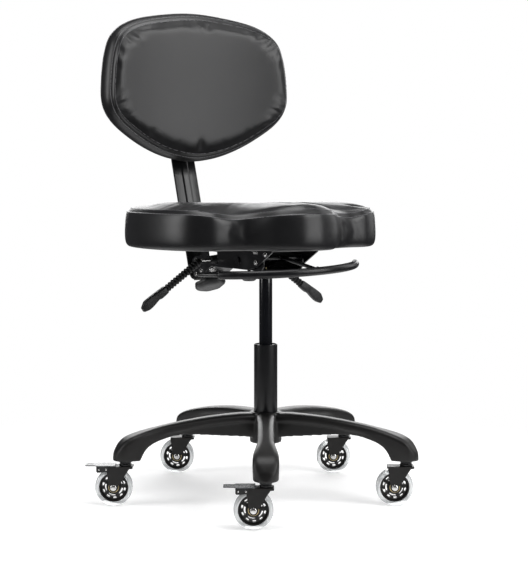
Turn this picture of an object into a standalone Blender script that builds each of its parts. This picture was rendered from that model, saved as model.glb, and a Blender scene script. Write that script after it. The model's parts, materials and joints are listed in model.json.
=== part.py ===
"""Adjustable swivel stool: saddle-shaped seat and upholstered back on a gas column with a five-arm caster base.

Metres, +Z up, front of the stool toward -Y. The origin is on the floor at the middle of the stool's bounding box;
the column stands at (COLUMN_X, COLUMN_Y). Every piece is laid out around the column and then moved there.
"""
from math import cos, hypot, pi, radians, sin, sqrt, tan

import bmesh
import bpy
from mathutils import Matrix, Vector

# --- where the column stands, and the general fits
COLUMN_X = 0.0348
COLUMN_Y = -0.0570
GAP = 0.0003              # between pieces that touch
RUNNING = 0.0005          # between pieces that turn or slide in each other
WELD = 0.000004           # corners closer than this after a cut are one corner
HUB_STEPS = 30            # flats around the hub and tube
CYLINDER_STEPS = 22       # flats around the gas cylinder

# --- base
ARM_COUNT = 5
FIRST_ARM = radians(-120)
CASTER_CIRCLE = 0.3075    # radius on which the caster stems stand
POD_RADIUS = 0.0262       # rounded end of an arm, around the stem
POD_BOTTOM = 0.0945
HUB_BOTTOM = 0.1160
HUB_TOP = 0.1825
HUB_WALL = 0.0090
ARM_ROOT_HALF = 0.0200    # half width of an arm at the hub
ARM_WAIST_HALF = 0.0175   # half width at its narrowest
WEB_STEP = 0.0045         # how far the web stands back from the rim band
RIM_BAND = 0.0160         # height of the rim band along the inner half
ARM_SHELL = 0.0035
# arm crown and underside as (radius, height) points of smooth curves
ARM_CROWN = ((0.026, 0.1790), (0.060, 0.1805), (0.141, 0.1750), (0.233, 0.1610), (0.302, 0.1415),
             (0.328, 0.1165), (0.3337, 0.0970))
ARM_BELLY = ((0.026, 0.1290), (0.095, 0.1350), (0.187, 0.1420), (0.238, 0.1335), (0.266, 0.1190),
             (0.2813, 0.0945))

# --- gas column
TUBE_RADIUS = 0.0250
TUBE_WALL = 0.0015
TUBE_TOP = 0.3275
TUBE_FLOOR = 0.0030
CLIP_ROOM = 0.0060        # hub skirt below the tube's floor
BUSH_LENGTH = 0.0680
CYLINDER_RADIUS = 0.0140
CYLINDER_WALL = 0.0022
CYLINDER_BOTTOM = 0.2580
CYLINDER_TOP = 0.4780
ROD_RADIUS = 0.0040
ROD_TOP = 0.3450
BEARING_HEIGHT = 0.0080
VALVE_RADIUS = 0.0027
VALVE_TOP = 0.4920

# --- casters
WHEEL_RADIUS = 0.0390
WHEEL_HALF = 0.0120
TYRE_INNER = 0.0305
SEAT_RADIUS = 0.0110      # bearing seat in the wheel
AXLE_RADIUS = 0.0045
TRAIL = 0.0240            # axle behind the stem
TRAIL_HEADING = radians(150)
FORK_TOP = 0.0830
FORK_PLATE = 0.0030
FORK_LEG = 0.0025
FORK_ROOM = 0.0020        # wheel side to fork leg
FORK_EYE = 0.0090         # round end of a leg, about the axle
STEM_RADIUS = 0.0055
STEM_TOP = 0.1250
RACE_RADIUS = 0.0130
BRAKED_ARMS = (0, 4)
PEDAL_REACH = 0.0830
PEDAL_PLATE = 0.0022
PEDAL_HALF = 0.0130
PEDAL_BOX = 0.0600        # outer end of the cheeks
PEDAL_PIN = (0.0385, 0.0775)
PEDAL_CHEEK = 0.0020

# --- control box under the seat
HOUSING_HALF = 0.0485
HOUSING_SHEET = 0.0025
HOUSING_FRONT = -0.0750
HOUSING_REAR = 0.1650
HOUSING_BOTTOM = 0.4870
SOCKET_RADIUS = 0.0190
SOCKET_BOTTOM = 0.4680
TILT_Y, TILT_Z = 0.0200, 0.5060
TILT_PIN_RADIUS = 0.0050
BACK_PIVOT_Y, BACK_PIVOT_Z = 0.1500, 0.5010
BACK_PIN_RADIUS = 0.0040
RING_PIVOT_Y, RING_PIVOT_Z = -0.0600, 0.5135
RING_PIVOT_HALF = 0.0520
RING_RADIUS = 0.1900
RING_HEIGHT = 0.4925
RING_SLOPE = 0.0450       # the ring climbs toward the stool's left
RING_ROD_RADIUS = 0.0040
GRIP_RADIUS = 0.0085
GRIP_SPAN = radians(60)
ROD_SPAN = (radians(-76), radians(56))
SPOKE_AT = radians(6)
LEVER_Y, LEVER_Z = 0.1350, 0.5020
LEVER_DROOP = radians(35.5)
LEVER_ROD_RADIUS = 0.0030
LEVER_KNEE = 0.0850       # where the lever bends down, out from the middle
BELLOWS_START = 0.0070    # along the drooping stretch
BELLOWS_LENGTH = 0.0950
BELLOWS_RINGS = 12
BELLOWS_OUTER, BELLOWS_VALLEY = 0.0088, 0.0066
PADDLE_LENGTH = 0.0720
PADDLE_HALF = 0.0115
TENSION_Y = 0.0720
TENSION_RADIUS = 0.0180
TENSION_BOTTOM = 0.4570

# --- seat
PLATE_SHEET = 0.0030
SEAT_UNDERSIDE = 0.5335
BOARD_THICK = 0.0110
BOARD_INSET = 0.0300
SEAM_HEIGHT = 0.6105
SEAT_CROWN = 0.0160
SEAT_BULGE = 0.0050
THIGH_DIP = 0.0110
NOSE_RISE = 0.0080
# half outline of the seat at mid height, rear centre to front centre, as (sideways, forward-back)
SEAT_HALF_OUTLINE = ((0.0, 0.2960), (0.100, 0.2920), (0.186, 0.2580), (0.245, 0.1820), (0.2640, 0.0900),
                     (0.2580, 0.0), (0.2320, -0.0740), (0.1890, -0.1080), (0.1450, -0.1120), (0.1050, -0.1300),
                     (0.0700, -0.1700), (0.0300, -0.1910), (0.0, -0.1950))

# --- back
BAR_HALF = 0.0290
BAR_THICK = 0.0060
BAR_RIB = 0.0020
BAR_FOOT = (0.1900, 0.4909)
BAR_HEEL = (0.2925, 0.4443)
BAR_NAPE = (0.3996, 0.7550)
BAR_TOP = 0.9900
BEND_RADIUS = 0.0220
BRACKET_SHEET = 0.0040
KNOB_RADIUS = 0.0360
KNOB_THICK = 0.0160
KNOB_DROP = 0.0230        # knob centre below the bar's middle
KNOB_ALONG = 0.0790       # from the bar's foot
BACK_FACE = 0.3160        # front face behind the column
BACK_CENTRE = 0.9200
BACK_THICK = 0.0640
BACK_CURVE = 0.5600       # sides reach forward by this times the square of the sideways distance
BACK_BULGE = 0.0060
BACK_CROWN = 0.0080
SHELL_THICK = 0.0080
SHELL_INSET = 0.0250
SHELL_GAP = 0.0012        # both faces are curved, so their flats need a little room
FACE_SHARES = (0.75, 0.55, 0.35, 0.20, 0.08)
SLEEVE_LENGTH = 0.1300
SLEEVE_WALL = 0.0035
# half outline of the back at its front seam, top centre to bottom centre
BACK_HALF_OUTLINE = ((0.0, 0.1280), (0.0700, 0.1235), (0.1250, 0.1165), (0.1720, 0.0990), (0.2080, 0.0560),
                     (0.2245, 0.0), (0.2230, -0.0600), (0.1970, -0.1140), (0.1490, -0.1490), (0.0970, -0.1700),
                     (0.0500, -0.1865), (0.0, -0.1940))


# ---------------------------------------------------------------- helpers
def finish(name, colour, roughness, metallic=0.0):
    """A plain Principled material."""
    material = bpy.data.materials.get(name) or bpy.data.materials.new(name)
    material.use_nodes = True
    shader = material.node_tree.nodes["Principled BSDF"]
    shader.inputs["Base Color"].default_value = (*colour, 1.0)
    shader.inputs["Roughness"].default_value = roughness
    shader.inputs["Metallic"].default_value = metallic
    return material


def curve_through(points, steps=6, closed=False):
    """Points of a smooth Catmull-Rom curve through the given ones, `steps` to each span."""
    knots = [Vector(p) for p in points]
    count = len(knots)
    spans = count if closed else count - 1
    pick = (lambda i: knots[i % count]) if closed else (lambda i: knots[min(max(i, 0), count - 1)])
    out = []
    for span in range(spans):
        a, b, c, d = (pick(span + k) for k in (-1, 0, 1, 2))
        for step in range(steps):
            t = step / steps
            out.append(0.5 * (2 * b + (c - a) * t + (2 * a - 5 * b + 4 * c - d) * t * t
                              + (3 * b - a - 3 * c + d) * t ** 3))
    if not closed:
        out.append(knots[-1])
    return out


def height_on(curve, x):
    """Second coordinate of a curve, given as points with rising first coordinate, at x."""
    if x <= curve[0][0]:
        return curve[0][1]
    for a, b in zip(curve, curve[1:]):
        if x <= b[0]:
            return a[1] + (b[1] - a[1]) * (x - a[0]) / (b[0] - a[0])
    return curve[-1][1]


def ease(x, low, high):
    """0 below low, 1 above high, smooth between."""
    t = min(max((x - low) / (high - low), 0.0), 1.0)
    return t * t * (3 - 2 * t)


def mesh_from(vertices, faces):
    """Closed mesh with its faces pointing out."""
    mesh = bpy.data.meshes.new("shape")
    mesh.from_pydata([tuple(v) for v in vertices], [], faces)
    work = bmesh.new()
    work.from_mesh(mesh)
    bmesh.ops.recalc_face_normals(work, faces=work.faces)
    if work.calc_volume(signed=True) < 0:
        bmesh.ops.reverse_faces(work, faces=work.faces)
    work.to_mesh(mesh)
    work.free()
    return mesh


def loft(rings, looped=False):
    """Skin over rings with equal point counts; the ends are capped unless the rings close on themselves."""
    size = len(rings[0])
    vertices = [p for ring in rings for p in ring]
    faces = []
    for r in range(len(rings) if looped else len(rings) - 1):
        here, there = r * size, (r + 1) % len(rings) * size
        for k in range(size):
            n = (k + 1) % size
            faces.append((here + k, here + n, there + n, there + k))
    if not looped:
        faces.append(tuple(range(size)))
        faces.append(tuple(range((len(rings) - 1) * size, len(rings) * size)))
    return mesh_from(vertices, faces)


def turned(outline, steps=24, axis="Z", at=(0.0, 0.0, 0.0)):
    """Ring or solid turned from (radius, height) points; a point of radius 0 closes the end."""
    vertices, rows = [], []
    for radius, height in outline:
        if radius < 1e-9:
            rows.append([len(vertices)] * steps)
            vertices.append(Vector((0, 0, height)))
            continue
        rows.append(list(range(len(vertices), len(vertices) + steps)))
        for k in range(steps):
            a = 2 * pi * k / steps
            vertices.append(Vector((radius * cos(a), radius * sin(a), height)))
    faces = []
    solid = outline[0][0] < 1e-9
    for r in range(len(rows) - 1 if solid else len(rows)):
        low, high = rows[r], rows[(r + 1) % len(rows)]
        for k in range(steps):
            n = (k + 1) % steps
            corner = []
            for v in (low[k], low[n], high[n], high[k]):
                if v not in corner:
                    corner.append(v)
            if len(corner) > 2:
                faces.append(tuple(corner))
    turn = {"Z": Matrix(), "X": Matrix.Rotation(pi / 2, 4, "Y"), "Y": Matrix.Rotation(-pi / 2, 4, "X")}[axis]
    return mesh_from([turn @ v + Vector(at) for v in vertices], faces)


def rod(radius, low, high, axis="Z", at=(0.0, 0.0, 0.0), steps=16):
    """Plain round bar."""
    return turned([(0, low), (radius, low), (radius, high), (0, high)], steps, axis, at)


def slab(outline, half, across="X"):
    """Outline in (y, z) pushed out to both sides along X, or in (x, z) along Y, or in (x, y) along Z."""
    def place(a, b, c):
        return {"X": (c, a, b), "Y": (a, c, b), "Z": (a, b, c)}[across]
    low, high = (half if isinstance(half, tuple) else (-half, half))
    return loft([[Vector(place(a, b, side)) for a, b in outline] for side in (low, high)])


def box(low, high):
    """Upright box from its lowest to its highest corner."""
    (x0, y0, z0), (x1, y1, z1) = low, high
    return slab([(x0, y0), (x1, y0), (x1, y1), (x0, y1)], (z0, z1), "Z")


def along(path, section, side=Vector((1, 0, 0))):
    """Rings of `section(k)`, points as (across, up), square to a path; across stays near `side`."""
    rings = []
    for k, point in enumerate(path):
        before, after = path[max(k - 1, 0)], path[min(k + 1, len(path) - 1)]
        forward = (after - before).normalized()
        up = side.cross(forward).normalized()
        across = forward.cross(up).normalized()
        rings.append([point + across * a + up * b for a, b in section(k)])
    return rings


def circle(radius, steps=12):
    """Points of a circle as (across, up)."""
    return [(radius * cos(2 * pi * k / steps), radius * sin(2 * pi * k / steps)) for k in range(steps)]


def rounded(half_a, half_b, corner, steps=3):
    """Rectangle with rounded corners as (across, up) points."""
    out = []
    for index, (sa, sb) in enumerate(((1, 1), (-1, 1), (-1, -1), (1, -1))):
        for step in range(steps + 1):
            a = (index + step / steps) * pi / 2
            out.append((sa * (half_a - corner) + corner * cos(a), sb * (half_b - corner) + corner * sin(a)))
    return out


def carved(solid, tool, operation="DIFFERENCE"):
    """Mesh left by a Boolean of two meshes."""
    collection = bpy.context.scene.collection
    pair = [bpy.data.objects.new("work", mesh) for mesh in (solid, tool)]
    for piece in pair:
        collection.objects.link(piece)
    change = pair[0].modifiers.new("carve", "BOOLEAN")
    change.operation = operation
    change.solver = "EXACT"
    change.object = pair[1]
    graph = bpy.context.evaluated_depsgraph_get()
    result = bpy.data.meshes.new_from_object(pair[0].evaluated_get(graph))
    for piece in pair:
        bpy.data.objects.remove(piece)
    work = bmesh.new()
    work.from_mesh(result)
    bmesh.ops.remove_doubles(work, verts=work.verts, dist=WELD)
    work.to_mesh(result)
    work.free()
    return result


def united(*meshes):
    """Boolean union of meshes that run into each other."""
    whole = meshes[0]
    for mesh in meshes[1:]:
        whole = carved(whole, mesh, "UNION")
    return whole


def part(name, mesh, material, pivot=(0.0, 0.0, 0.0)):
    """Named piece, laid out around the column, with its origin at `pivot`."""
    mesh.transform(Matrix.Translation(-Vector(pivot)))
    return place(name, mesh, material, pivot, 0.0)


def place(name, mesh, material, location, heading):
    """Named piece from a mesh drawn around its own origin."""
    if not mesh.materials:
        mesh.materials.append(material)
    mesh.materials[0] = material
    mesh.shade_smooth()
    mesh.set_sharp_from_angle(angle=radians(35))
    piece = bpy.data.objects.new(name, mesh)
    piece.location = Vector(location) + Vector((COLUMN_X, COLUMN_Y, 0))
    piece.rotation_euler = (0, 0, heading)
    bpy.context.scene.collection.objects.link(piece)
    return piece


def mirrored(half):
    """Whole outline from a half that starts and ends on the middle line."""
    return list(half) + [(-x, y) for x, y in reversed(half[1:-1])]


def pushed_out(outline, distance):
    """Closed outline moved outwards, or inwards when negative, square to itself."""
    count = len(outline)
    out = []
    for k in range(count):
        before, here, after = outline[k - 1], outline[k], outline[(k + 1) % count]
        tangent = (after - before).normalized()
        out.append(here + Vector((-tangent.y, tangent.x)) * distance)
    area = sum(a.x * b.y - b.x * a.y for a, b in zip(outline, outline[1:] + outline[:1]))
    if area > 0:
        out = [2 * here - moved for here, moved in zip(outline, out)]
    return out


# ---------------------------------------------------------------- base
def arm_heading(index):
    return FIRST_ARM + index * 2 * pi / ARM_COUNT


def arm_half_width(radius):
    """Half width of an arm in plan: hub root, waist, then the round pod."""
    from_middle = radius - CASTER_CIRCLE
    if from_middle > 0:
        return sqrt(max(POD_RADIUS ** 2 - from_middle ** 2, 0.003 ** 2))
    narrowing = ARM_ROOT_HALF + (ARM_WAIST_HALF - ARM_ROOT_HALF) * ease(radius, 0.03, 0.14)
    return narrowing + (POD_RADIUS - ARM_WAIST_HALF) * ease(radius, CASTER_CIRCLE - 0.085, CASTER_CIRCLE - 0.004)


def arm_stations():
    """Radii of the arm's sections, closer together around the pod."""
    pod_start = ARM_BELLY[-1][0]
    last = ARM_CROWN[-1][0]
    inner = [ARM_CROWN[0][0] + k * 0.040 for k in range(5)]
    middle = [pod_start - back for back in (0.055, 0.032, 0.018, 0.008, 0.0)]
    outer = [CASTER_CIRCLE + (last - CASTER_CIRCLE) * sin(k * pi / 6) for k in range(4)]
    return inner + middle + outer


def arm_mesh(heading):
    """One arm: a rim band over a narrower web, running out into a solid pod."""
    crown = curve_through(ARM_CROWN)
    belly = curve_through(ARM_BELLY)
    rings = []
    for radius in arm_stations():
        top, bottom = height_on(crown, radius), height_on(belly, radius)
        wide = arm_half_width(radius)
        step = WEB_STEP * (1 - ease(radius, 0.19, 0.24))
        narrow = wide - step
        band = min(RIM_BAND + 0.008 * ease(radius, 0.16, 0.245), (top - bottom) * 0.6)
        edge = min(0.007, wide * 0.35, (top - bottom) * 0.3)
        half = [(wide - edge, top), (wide, top - edge), (wide, top - band),
                (narrow, top - band - step * 0.5 - 0.0005), (narrow - 0.001, bottom)]
        section = half + [(-a, z) for a, z in reversed(half)]
        rings.append([Vector((radius * cos(heading) - a * sin(heading), radius * sin(heading) + a * cos(heading), z))
                      for a, z in section])
    return loft(rings)


def arm_pocket(heading):
    """Hollow under an arm, open at the bottom."""
    crown = curve_through(ARM_CROWN)
    start = TUBE_RADIUS + HUB_WALL + 0.012
    end = CASTER_CIRCLE - POD_RADIUS - 0.008
    rings = []
    for k in range(7):
        radius = start + (end - start) * k / 6
        half = arm_half_width(radius) - WEB_STEP - ARM_SHELL
        top = height_on(crown, radius) - ARM_SHELL * 2
        rings.append([Vector((radius * cos(heading) - a * sin(heading), radius * sin(heading) + a * cos(heading), z))
                      for a, z in ((-half, top), (half, top), (half, 0.06), (-half, 0.06))])
    return loft(rings)


def caster_seat(index):
    heading = arm_heading(index)
    return Vector((CASTER_CIRCLE * cos(heading), CASTER_CIRCLE * sin(heading), 0))


def star_base(material):
    outer = TUBE_RADIUS + HUB_WALL
    hub = turned([(0, HUB_BOTTOM), (outer - 0.002, HUB_BOTTOM), (outer, HUB_BOTTOM + 0.002), (outer, HUB_TOP - 0.003),
                  (outer - 0.003, HUB_TOP), (0, HUB_TOP)], HUB_STEPS)
    whole = united(hub, *(arm_mesh(arm_heading(k)) for k in range(ARM_COUNT)))
    for k in range(ARM_COUNT):
        whole = carved(whole, arm_pocket(arm_heading(k)))
        bore = rod(STEM_RADIUS + GAP, POD_BOTTOM - 0.01, STEM_TOP + GAP, at=caster_seat(k), steps=10)
        whole = carved(whole, bore)
    bore = rod(TUBE_RADIUS + GAP, HUB_BOTTOM - 0.01, HUB_TOP + 0.01, steps=HUB_STEPS)
    part("star_base", carved(whole, bore), material)


def column(black, zinc, brass):
    """Outer tube, guide bush, gas cylinder, piston rod, thrust bearing, retaining clip and valve button."""
    floor = HUB_BOTTOM + CLIP_ROOM
    inner = TUBE_RADIUS - TUBE_WALL
    part("outer_tube", turned([
        (ROD_RADIUS + RUNNING, floor), (TUBE_RADIUS, floor), (TUBE_RADIUS, TUBE_TOP - 0.0012),
        (TUBE_RADIUS - 0.0010, TUBE_TOP), (inner, TUBE_TOP), (inner, floor + TUBE_FLOOR),
        (ROD_RADIUS + RUNNING, floor + TUBE_FLOOR)], HUB_STEPS), black)
    bush_top = TUBE_TOP - 0.0010
    part("guide_bush", turned([
        (CYLINDER_RADIUS + RUNNING, bush_top - BUSH_LENGTH), (inner - GAP, bush_top - BUSH_LENGTH),
        (inner - GAP, bush_top), (CYLINDER_RADIUS + RUNNING, bush_top)], HUB_STEPS), black)
    bore = CYLINDER_RADIUS - CYLINDER_WALL
    seal = ROD_RADIUS + RUNNING
    part("gas_cylinder", turned([
        (seal, CYLINDER_BOTTOM), (CYLINDER_RADIUS - 0.001, CYLINDER_BOTTOM), (CYLINDER_RADIUS, CYLINDER_BOTTOM + 0.001),
        (CYLINDER_RADIUS, CYLINDER_TOP - 0.001), (CYLINDER_RADIUS - 0.001, CYLINDER_TOP),
        (VALVE_RADIUS + RUNNING, CYLINDER_TOP), (VALVE_RADIUS + RUNNING, CYLINDER_TOP - 0.004),
        (bore, CYLINDER_TOP - 0.006), (bore, CYLINDER_BOTTOM + 0.006), (seal, CYLINDER_BOTTOM + 0.004)],
        CYLINDER_STEPS), black)
    clip_top = floor - GAP
    clip_bottom = clip_top - 0.0012
    groove = ROD_RADIUS - 0.0008
    part("piston_rod", turned([
        (0, clip_bottom - 0.002), (ROD_RADIUS, clip_bottom - 0.002), (ROD_RADIUS, clip_bottom - GAP),
        (groove, clip_bottom - GAP), (groove, clip_top + GAP / 2), (ROD_RADIUS, clip_top + GAP / 2),
        (ROD_RADIUS, ROD_TOP - 0.014), (bore - RUNNING, ROD_TOP - 0.013), (bore - RUNNING, ROD_TOP),
        (0, ROD_TOP)], 14), zinc)
    part("retaining_clip", turned([
        (groove + GAP, clip_bottom), (0.0095, clip_bottom), (0.0095, clip_top), (groove + GAP, clip_top)], 14), zinc)
    seat = floor + TUBE_FLOOR + GAP
    part("thrust_bearing", turned([
        (ROD_RADIUS + GAP, seat), (0.0130, seat), (0.0130, seat + BEARING_HEIGHT * 0.35),
        (0.0115, seat + BEARING_HEIGHT * 0.5), (0.0130, seat + BEARING_HEIGHT * 0.65),
        (0.0130, seat + BEARING_HEIGHT), (ROD_RADIUS + GAP, seat + BEARING_HEIGHT)], 14), zinc)
    part("valve_button", turned([
        (0, CYLINDER_TOP - 0.0075), (VALVE_RADIUS, CYLINDER_TOP - 0.0070), (VALVE_RADIUS, VALVE_TOP - 0.0008),
        (VALVE_RADIUS - 0.0008, VALVE_TOP), (0, VALVE_TOP)], 10), brass)


# ---------------------------------------------------------------- casters
def caster_meshes():
    """Meshes of one caster. Stem and fork are drawn around the stem's axis with the wheel trailing along +X;
    wheel pieces are drawn around the axle, which runs along Y."""
    stem = turned([
        (0, FORK_TOP - FORK_PLATE - 0.003), (0.0085, FORK_TOP - FORK_PLATE - 0.003),
        (0.0085, FORK_TOP - FORK_PLATE - GAP), (STEM_RADIUS, FORK_TOP - FORK_PLATE - GAP),
        (STEM_RADIUS, FORK_TOP + GAP), (RACE_RADIUS, FORK_TOP + GAP), (RACE_RADIUS, POD_BOTTOM - GAP),
        (STEM_RADIUS, POD_BOTTOM - GAP), (STEM_RADIUS, STEM_TOP), (0, STEM_TOP)], 10)
    leg_in = WHEEL_HALF + FORK_ROOM
    leg_out = leg_in + FORK_LEG
    lower = [(TRAIL + FORK_EYE * cos(a), WHEEL_RADIUS + FORK_EYE * sin(a))
             for a in (radians(d) for d in range(-190, 11, 40))]
    flank = [(-0.0160, FORK_TOP), (-0.0160, FORK_TOP - FORK_PLATE), (-0.0090, FORK_TOP - FORK_PLATE - 0.001),
             (-0.0025, WHEEL_RADIUS + 0.0295), (0.0100, WHEEL_RADIUS + 0.0070)] + lower
    flank += [(TRAIL + 0.0120, WHEEL_RADIUS + 0.0200), (TRAIL + 0.0140, FORK_TOP)]
    gap_top = FORK_TOP - FORK_PLATE
    fork = slab(flank, leg_out, "Y")
    fork = carved(fork, box((-0.05, -leg_in, 0.0), (0.09, leg_in, gap_top)))
    fork = carved(fork, rod(STEM_RADIUS + RUNNING, FORK_TOP - 0.02, FORK_TOP + 0.02, steps=10))
    eye_hole = rod(AXLE_RADIUS + GAP, -0.03, 0.03, "Y", (TRAIL, 0, WHEEL_RADIUS), 10)
    fork = carved(fork, eye_hole)
    rim = TYRE_INNER - GAP
    wheel = turned([
        (SEAT_RADIUS + GAP, -WHEEL_HALF + 0.001), (SEAT_RADIUS + 0.0030, -0.009), (rim - 0.0030, -0.007),
        (rim, -WHEEL_HALF + 0.001), (rim, WHEEL_HALF - 0.001), (rim - 0.0030, 0.007),
        (SEAT_RADIUS + 0.0030, 0.009), (SEAT_RADIUS + GAP, WHEEL_HALF - 0.001)], 20, "Y")
    for k in range(5):
        wheel = carved(wheel, wheel_slot(2 * pi * (k + 0.1) / 5))
    tyre = turned([
        (TYRE_INNER, -WHEEL_HALF), (WHEEL_RADIUS - 0.003, -WHEEL_HALF + 0.0005), (WHEEL_RADIUS, -WHEEL_HALF * 0.5),
        (WHEEL_RADIUS, WHEEL_HALF * 0.5), (WHEEL_RADIUS - 0.003, WHEEL_HALF - 0.0005), (TYRE_INNER, WHEEL_HALF)],
        28, "Y")
    head = leg_out + GAP
    axle = turned([
        (0, -head - 0.0032), (0.0058, -head - 0.0026), (0.0068, -head), (AXLE_RADIUS, -head),
        (AXLE_RADIUS, head), (0.0068, head), (0.0058, head + 0.0026), (0, head + 0.0032)], 10, "Y")
    cup = SEAT_RADIUS - 0.0001
    bearing = turned([
        (AXLE_RADIUS + GAP, -WHEEL_HALF + 0.0002), (cup, -WHEEL_HALF + 0.0002), (cup, -0.0060), (0.0070, -0.0055),
        (0.0070, 0.0055), (cup, 0.0060), (cup, WHEEL_HALF - 0.0002), (AXLE_RADIUS + GAP, WHEEL_HALF - 0.0002)],
        12, "Y")
    return {"stem": stem, "fork": fork, "wheel": wheel, "tyre": tyre, "axle": axle, "bearing": bearing}


def wheel_slot(angle):
    """Cutter for one rounded window in the wheel's web."""
    middle, half_span, half_width = 0.0205, radians(21), 0.0048
    outline = []
    for k in range(3):
        a = angle - half_span + half_span * k
        outline.append(((middle + half_width) * cos(a), (middle + half_width) * sin(a)))
    for k in range(3):
        a = angle + half_span - half_span * k
        outline.append(((middle - half_width) * cos(a), (middle - half_width) * sin(a)))
    return slab(outline, 0.02, "Y")


def casters(nylon, urethane, zinc, brass):
    shapes = caster_meshes()
    looks = {"stem": zinc, "fork": nylon, "wheel": nylon, "tyre": urethane, "axle": zinc, "bearing": brass}
    trail = Vector((cos(TRAIL_HEADING), sin(TRAIL_HEADING), 0)) * TRAIL
    for k in range(ARM_COUNT):
        seat = caster_seat(k)
        centre = seat + trail + Vector((0, 0, WHEEL_RADIUS))
        for kind, mesh in shapes.items():
            at = seat if kind in ("stem", "fork") else centre
            place(f"caster_{kind}_{k + 1}", mesh, looks[kind], at, TRAIL_HEADING)


def brake_pedals(nylon):
    """Foot pedal of a braked caster: tread plate, two cheeks outside the fork and a tongue over the tyre."""
    pin_x, pin_z = PEDAL_PIN
    inner = WHEEL_HALF + FORK_ROOM + FORK_LEG + RUNNING
    outer = inner + PEDAL_CHEEK
    low = FORK_TOP + 2 * GAP
    high = low + PEDAL_PLATE
    tread = slab([(0.0200, -outer), (PEDAL_BOX, -outer), (PEDAL_BOX, -PEDAL_HALF), (PEDAL_REACH - 0.004, -PEDAL_HALF),
                  (PEDAL_REACH, -PEDAL_HALF + 0.005), (PEDAL_REACH, PEDAL_HALF - 0.005),
                  (PEDAL_REACH - 0.004, PEDAL_HALF), (PEDAL_BOX, PEDAL_HALF), (PEDAL_BOX, outer), (0.0200, outer)],
                 (low, high), "Z")
    profile = [(pin_x - 0.004, low + 0.001), (pin_x - 0.004, 0.0745), (pin_x, 0.0720), (PEDAL_BOX - 0.002, 0.0710),
               (PEDAL_BOX, 0.0730), (PEDAL_BOX, low + 0.001)]
    cheeks = [slab(profile, pair, "Y") for pair in ((inner, outer), (-outer, -inner))]
    tongue = slab([(0.0450, low + 0.001), (0.0530, 0.0690), (0.0545, 0.0695), (0.0480, low + 0.001)], 0.0100, "Y")
    mesh = united(tread, *cheeks, tongue)
    mesh.transform(Matrix.Translation((-pin_x, 0, -pin_z)))
    for k in BRAKED_ARMS:
        trail = Vector((cos(TRAIL_HEADING), sin(TRAIL_HEADING), 0)) * pin_x
        place(f"brake_pedal_{k + 1}", mesh, nylon, caster_seat(k) + trail + Vector((0, 0, pin_z)), TRAIL_HEADING)


# ---------------------------------------------------------------- control box
def mech_housing(steel):
    """Open-topped steel tray with the socket for the gas column."""
    rear_top, front_top = 0.5090, 0.5180
    outline = [(HOUSING_FRONT, HOUSING_BOTTOM + 0.010), (HOUSING_FRONT + 0.012, HOUSING_BOTTOM),
               (HOUSING_REAR, HOUSING_BOTTOM), (HOUSING_REAR, rear_top), (TILT_Y + 0.035, 0.5230),
               (TILT_Y - 0.030, 0.5230), (RING_PIVOT_Y - 0.008, front_top + 0.002), (HOUSING_FRONT, front_top - 0.004)]
    tray = slab(outline, HOUSING_HALF)
    inside = HOUSING_HALF - HOUSING_SHEET
    tray = carved(tray, box((-inside, HOUSING_FRONT - 0.02, HOUSING_BOTTOM + HOUSING_SHEET),
                            (inside, HOUSING_REAR + 0.02, 0.60)))
    socket = turned([(0, SOCKET_BOTTOM), (SOCKET_RADIUS - 0.003, SOCKET_BOTTOM), (SOCKET_RADIUS, SOCKET_BOTTOM + 0.004),
                     (SOCKET_RADIUS, HOUSING_BOTTOM + HOUSING_SHEET - 0.0003), (0, HOUSING_BOTTOM + HOUSING_SHEET - 0.0003)],
                    28)
    tray = united(tray, socket)
    holes = (rod(CYLINDER_RADIUS + GAP, 0.40, 0.60, steps=28),
             rod(TILT_PIN_RADIUS + GAP, -0.1, 0.1, "X", (0, TILT_Y, TILT_Z), 14),
             rod(BACK_PIN_RADIUS + GAP, -0.1, 0.1, "X", (0, BACK_PIVOT_Y, BACK_PIVOT_Z), 14),
             rod(RING_ROD_RADIUS + RUNNING, -0.1, 0.1, "X", (0, RING_PIVOT_Y, RING_PIVOT_Z), 12),
             rod(LEVER_ROD_RADIUS + 0.0015, -0.1, 0.1, "X", (0, LEVER_Y, LEVER_Z), 12),
             rod(0.0040 + RUNNING, HOUSING_BOTTOM - 0.005, HOUSING_BOTTOM + 0.01, "Z", (0, TENSION_Y, 0), 14))
    for hole in holes:
        tray = carved(tray, hole)
    part("mech_housing", tray, steel)


def plate_flank():
    """Side of the seat plate: a wing that tapers toward the front, notched around the side lever."""
    top = SEAT_UNDERSIDE - GAP - PLATE_SHEET / 2
    notch = [(LEVER_Y - 0.0240, 0.4870), (LEVER_Y - 0.0200, 0.5200), (LEVER_Y + 0.0200, 0.5200),
             (LEVER_Y + 0.0300, 0.5000)]
    return [(-0.1210, top), (-0.1210, 0.5285), (-0.0580, 0.4960), (-0.0250, 0.4890)] + notch + [
        (LEVER_Y + 0.0500, 0.5000), (LEVER_Y + 0.0580, top)]


def seat_plate(steel):
    top = SEAT_UNDERSIDE - GAP
    outer = 0.0560
    sheet = 0.0025
    flat = slab([(-0.080, -0.090), (-0.056, -0.1210), (0.056, -0.1210), (0.080, -0.090), (0.080, 0.160),
                 (0.056, 0.1930), (-0.056, 0.1930), (-0.080, 0.160)], (top - PLATE_SHEET, top), "Z")
    wings = [slab(plate_flank(), pair) for pair in ((outer - sheet, outer), (-outer, sheet - outer))]
    whole = united(flat, *wings)
    pin = rod(TILT_PIN_RADIUS + GAP, -0.1, 0.1, "X", (0, TILT_Y, TILT_Z), 14)
    part("seat_plate", carved(whole, pin), steel, (0, TILT_Y, TILT_Z))
    head = outer + GAP
    part("tilt_pin", turned([
        (0, -head - 0.004), (0.0085, -head - 0.0035), (0.0085, -head), (TILT_PIN_RADIUS, -head),
        (TILT_PIN_RADIUS, head), (0.0085, head), (0.0085, head + 0.0035), (0, head + 0.004)], 14, "X",
        (0, TILT_Y, TILT_Z)), steel, (0, TILT_Y, TILT_Z))


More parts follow.
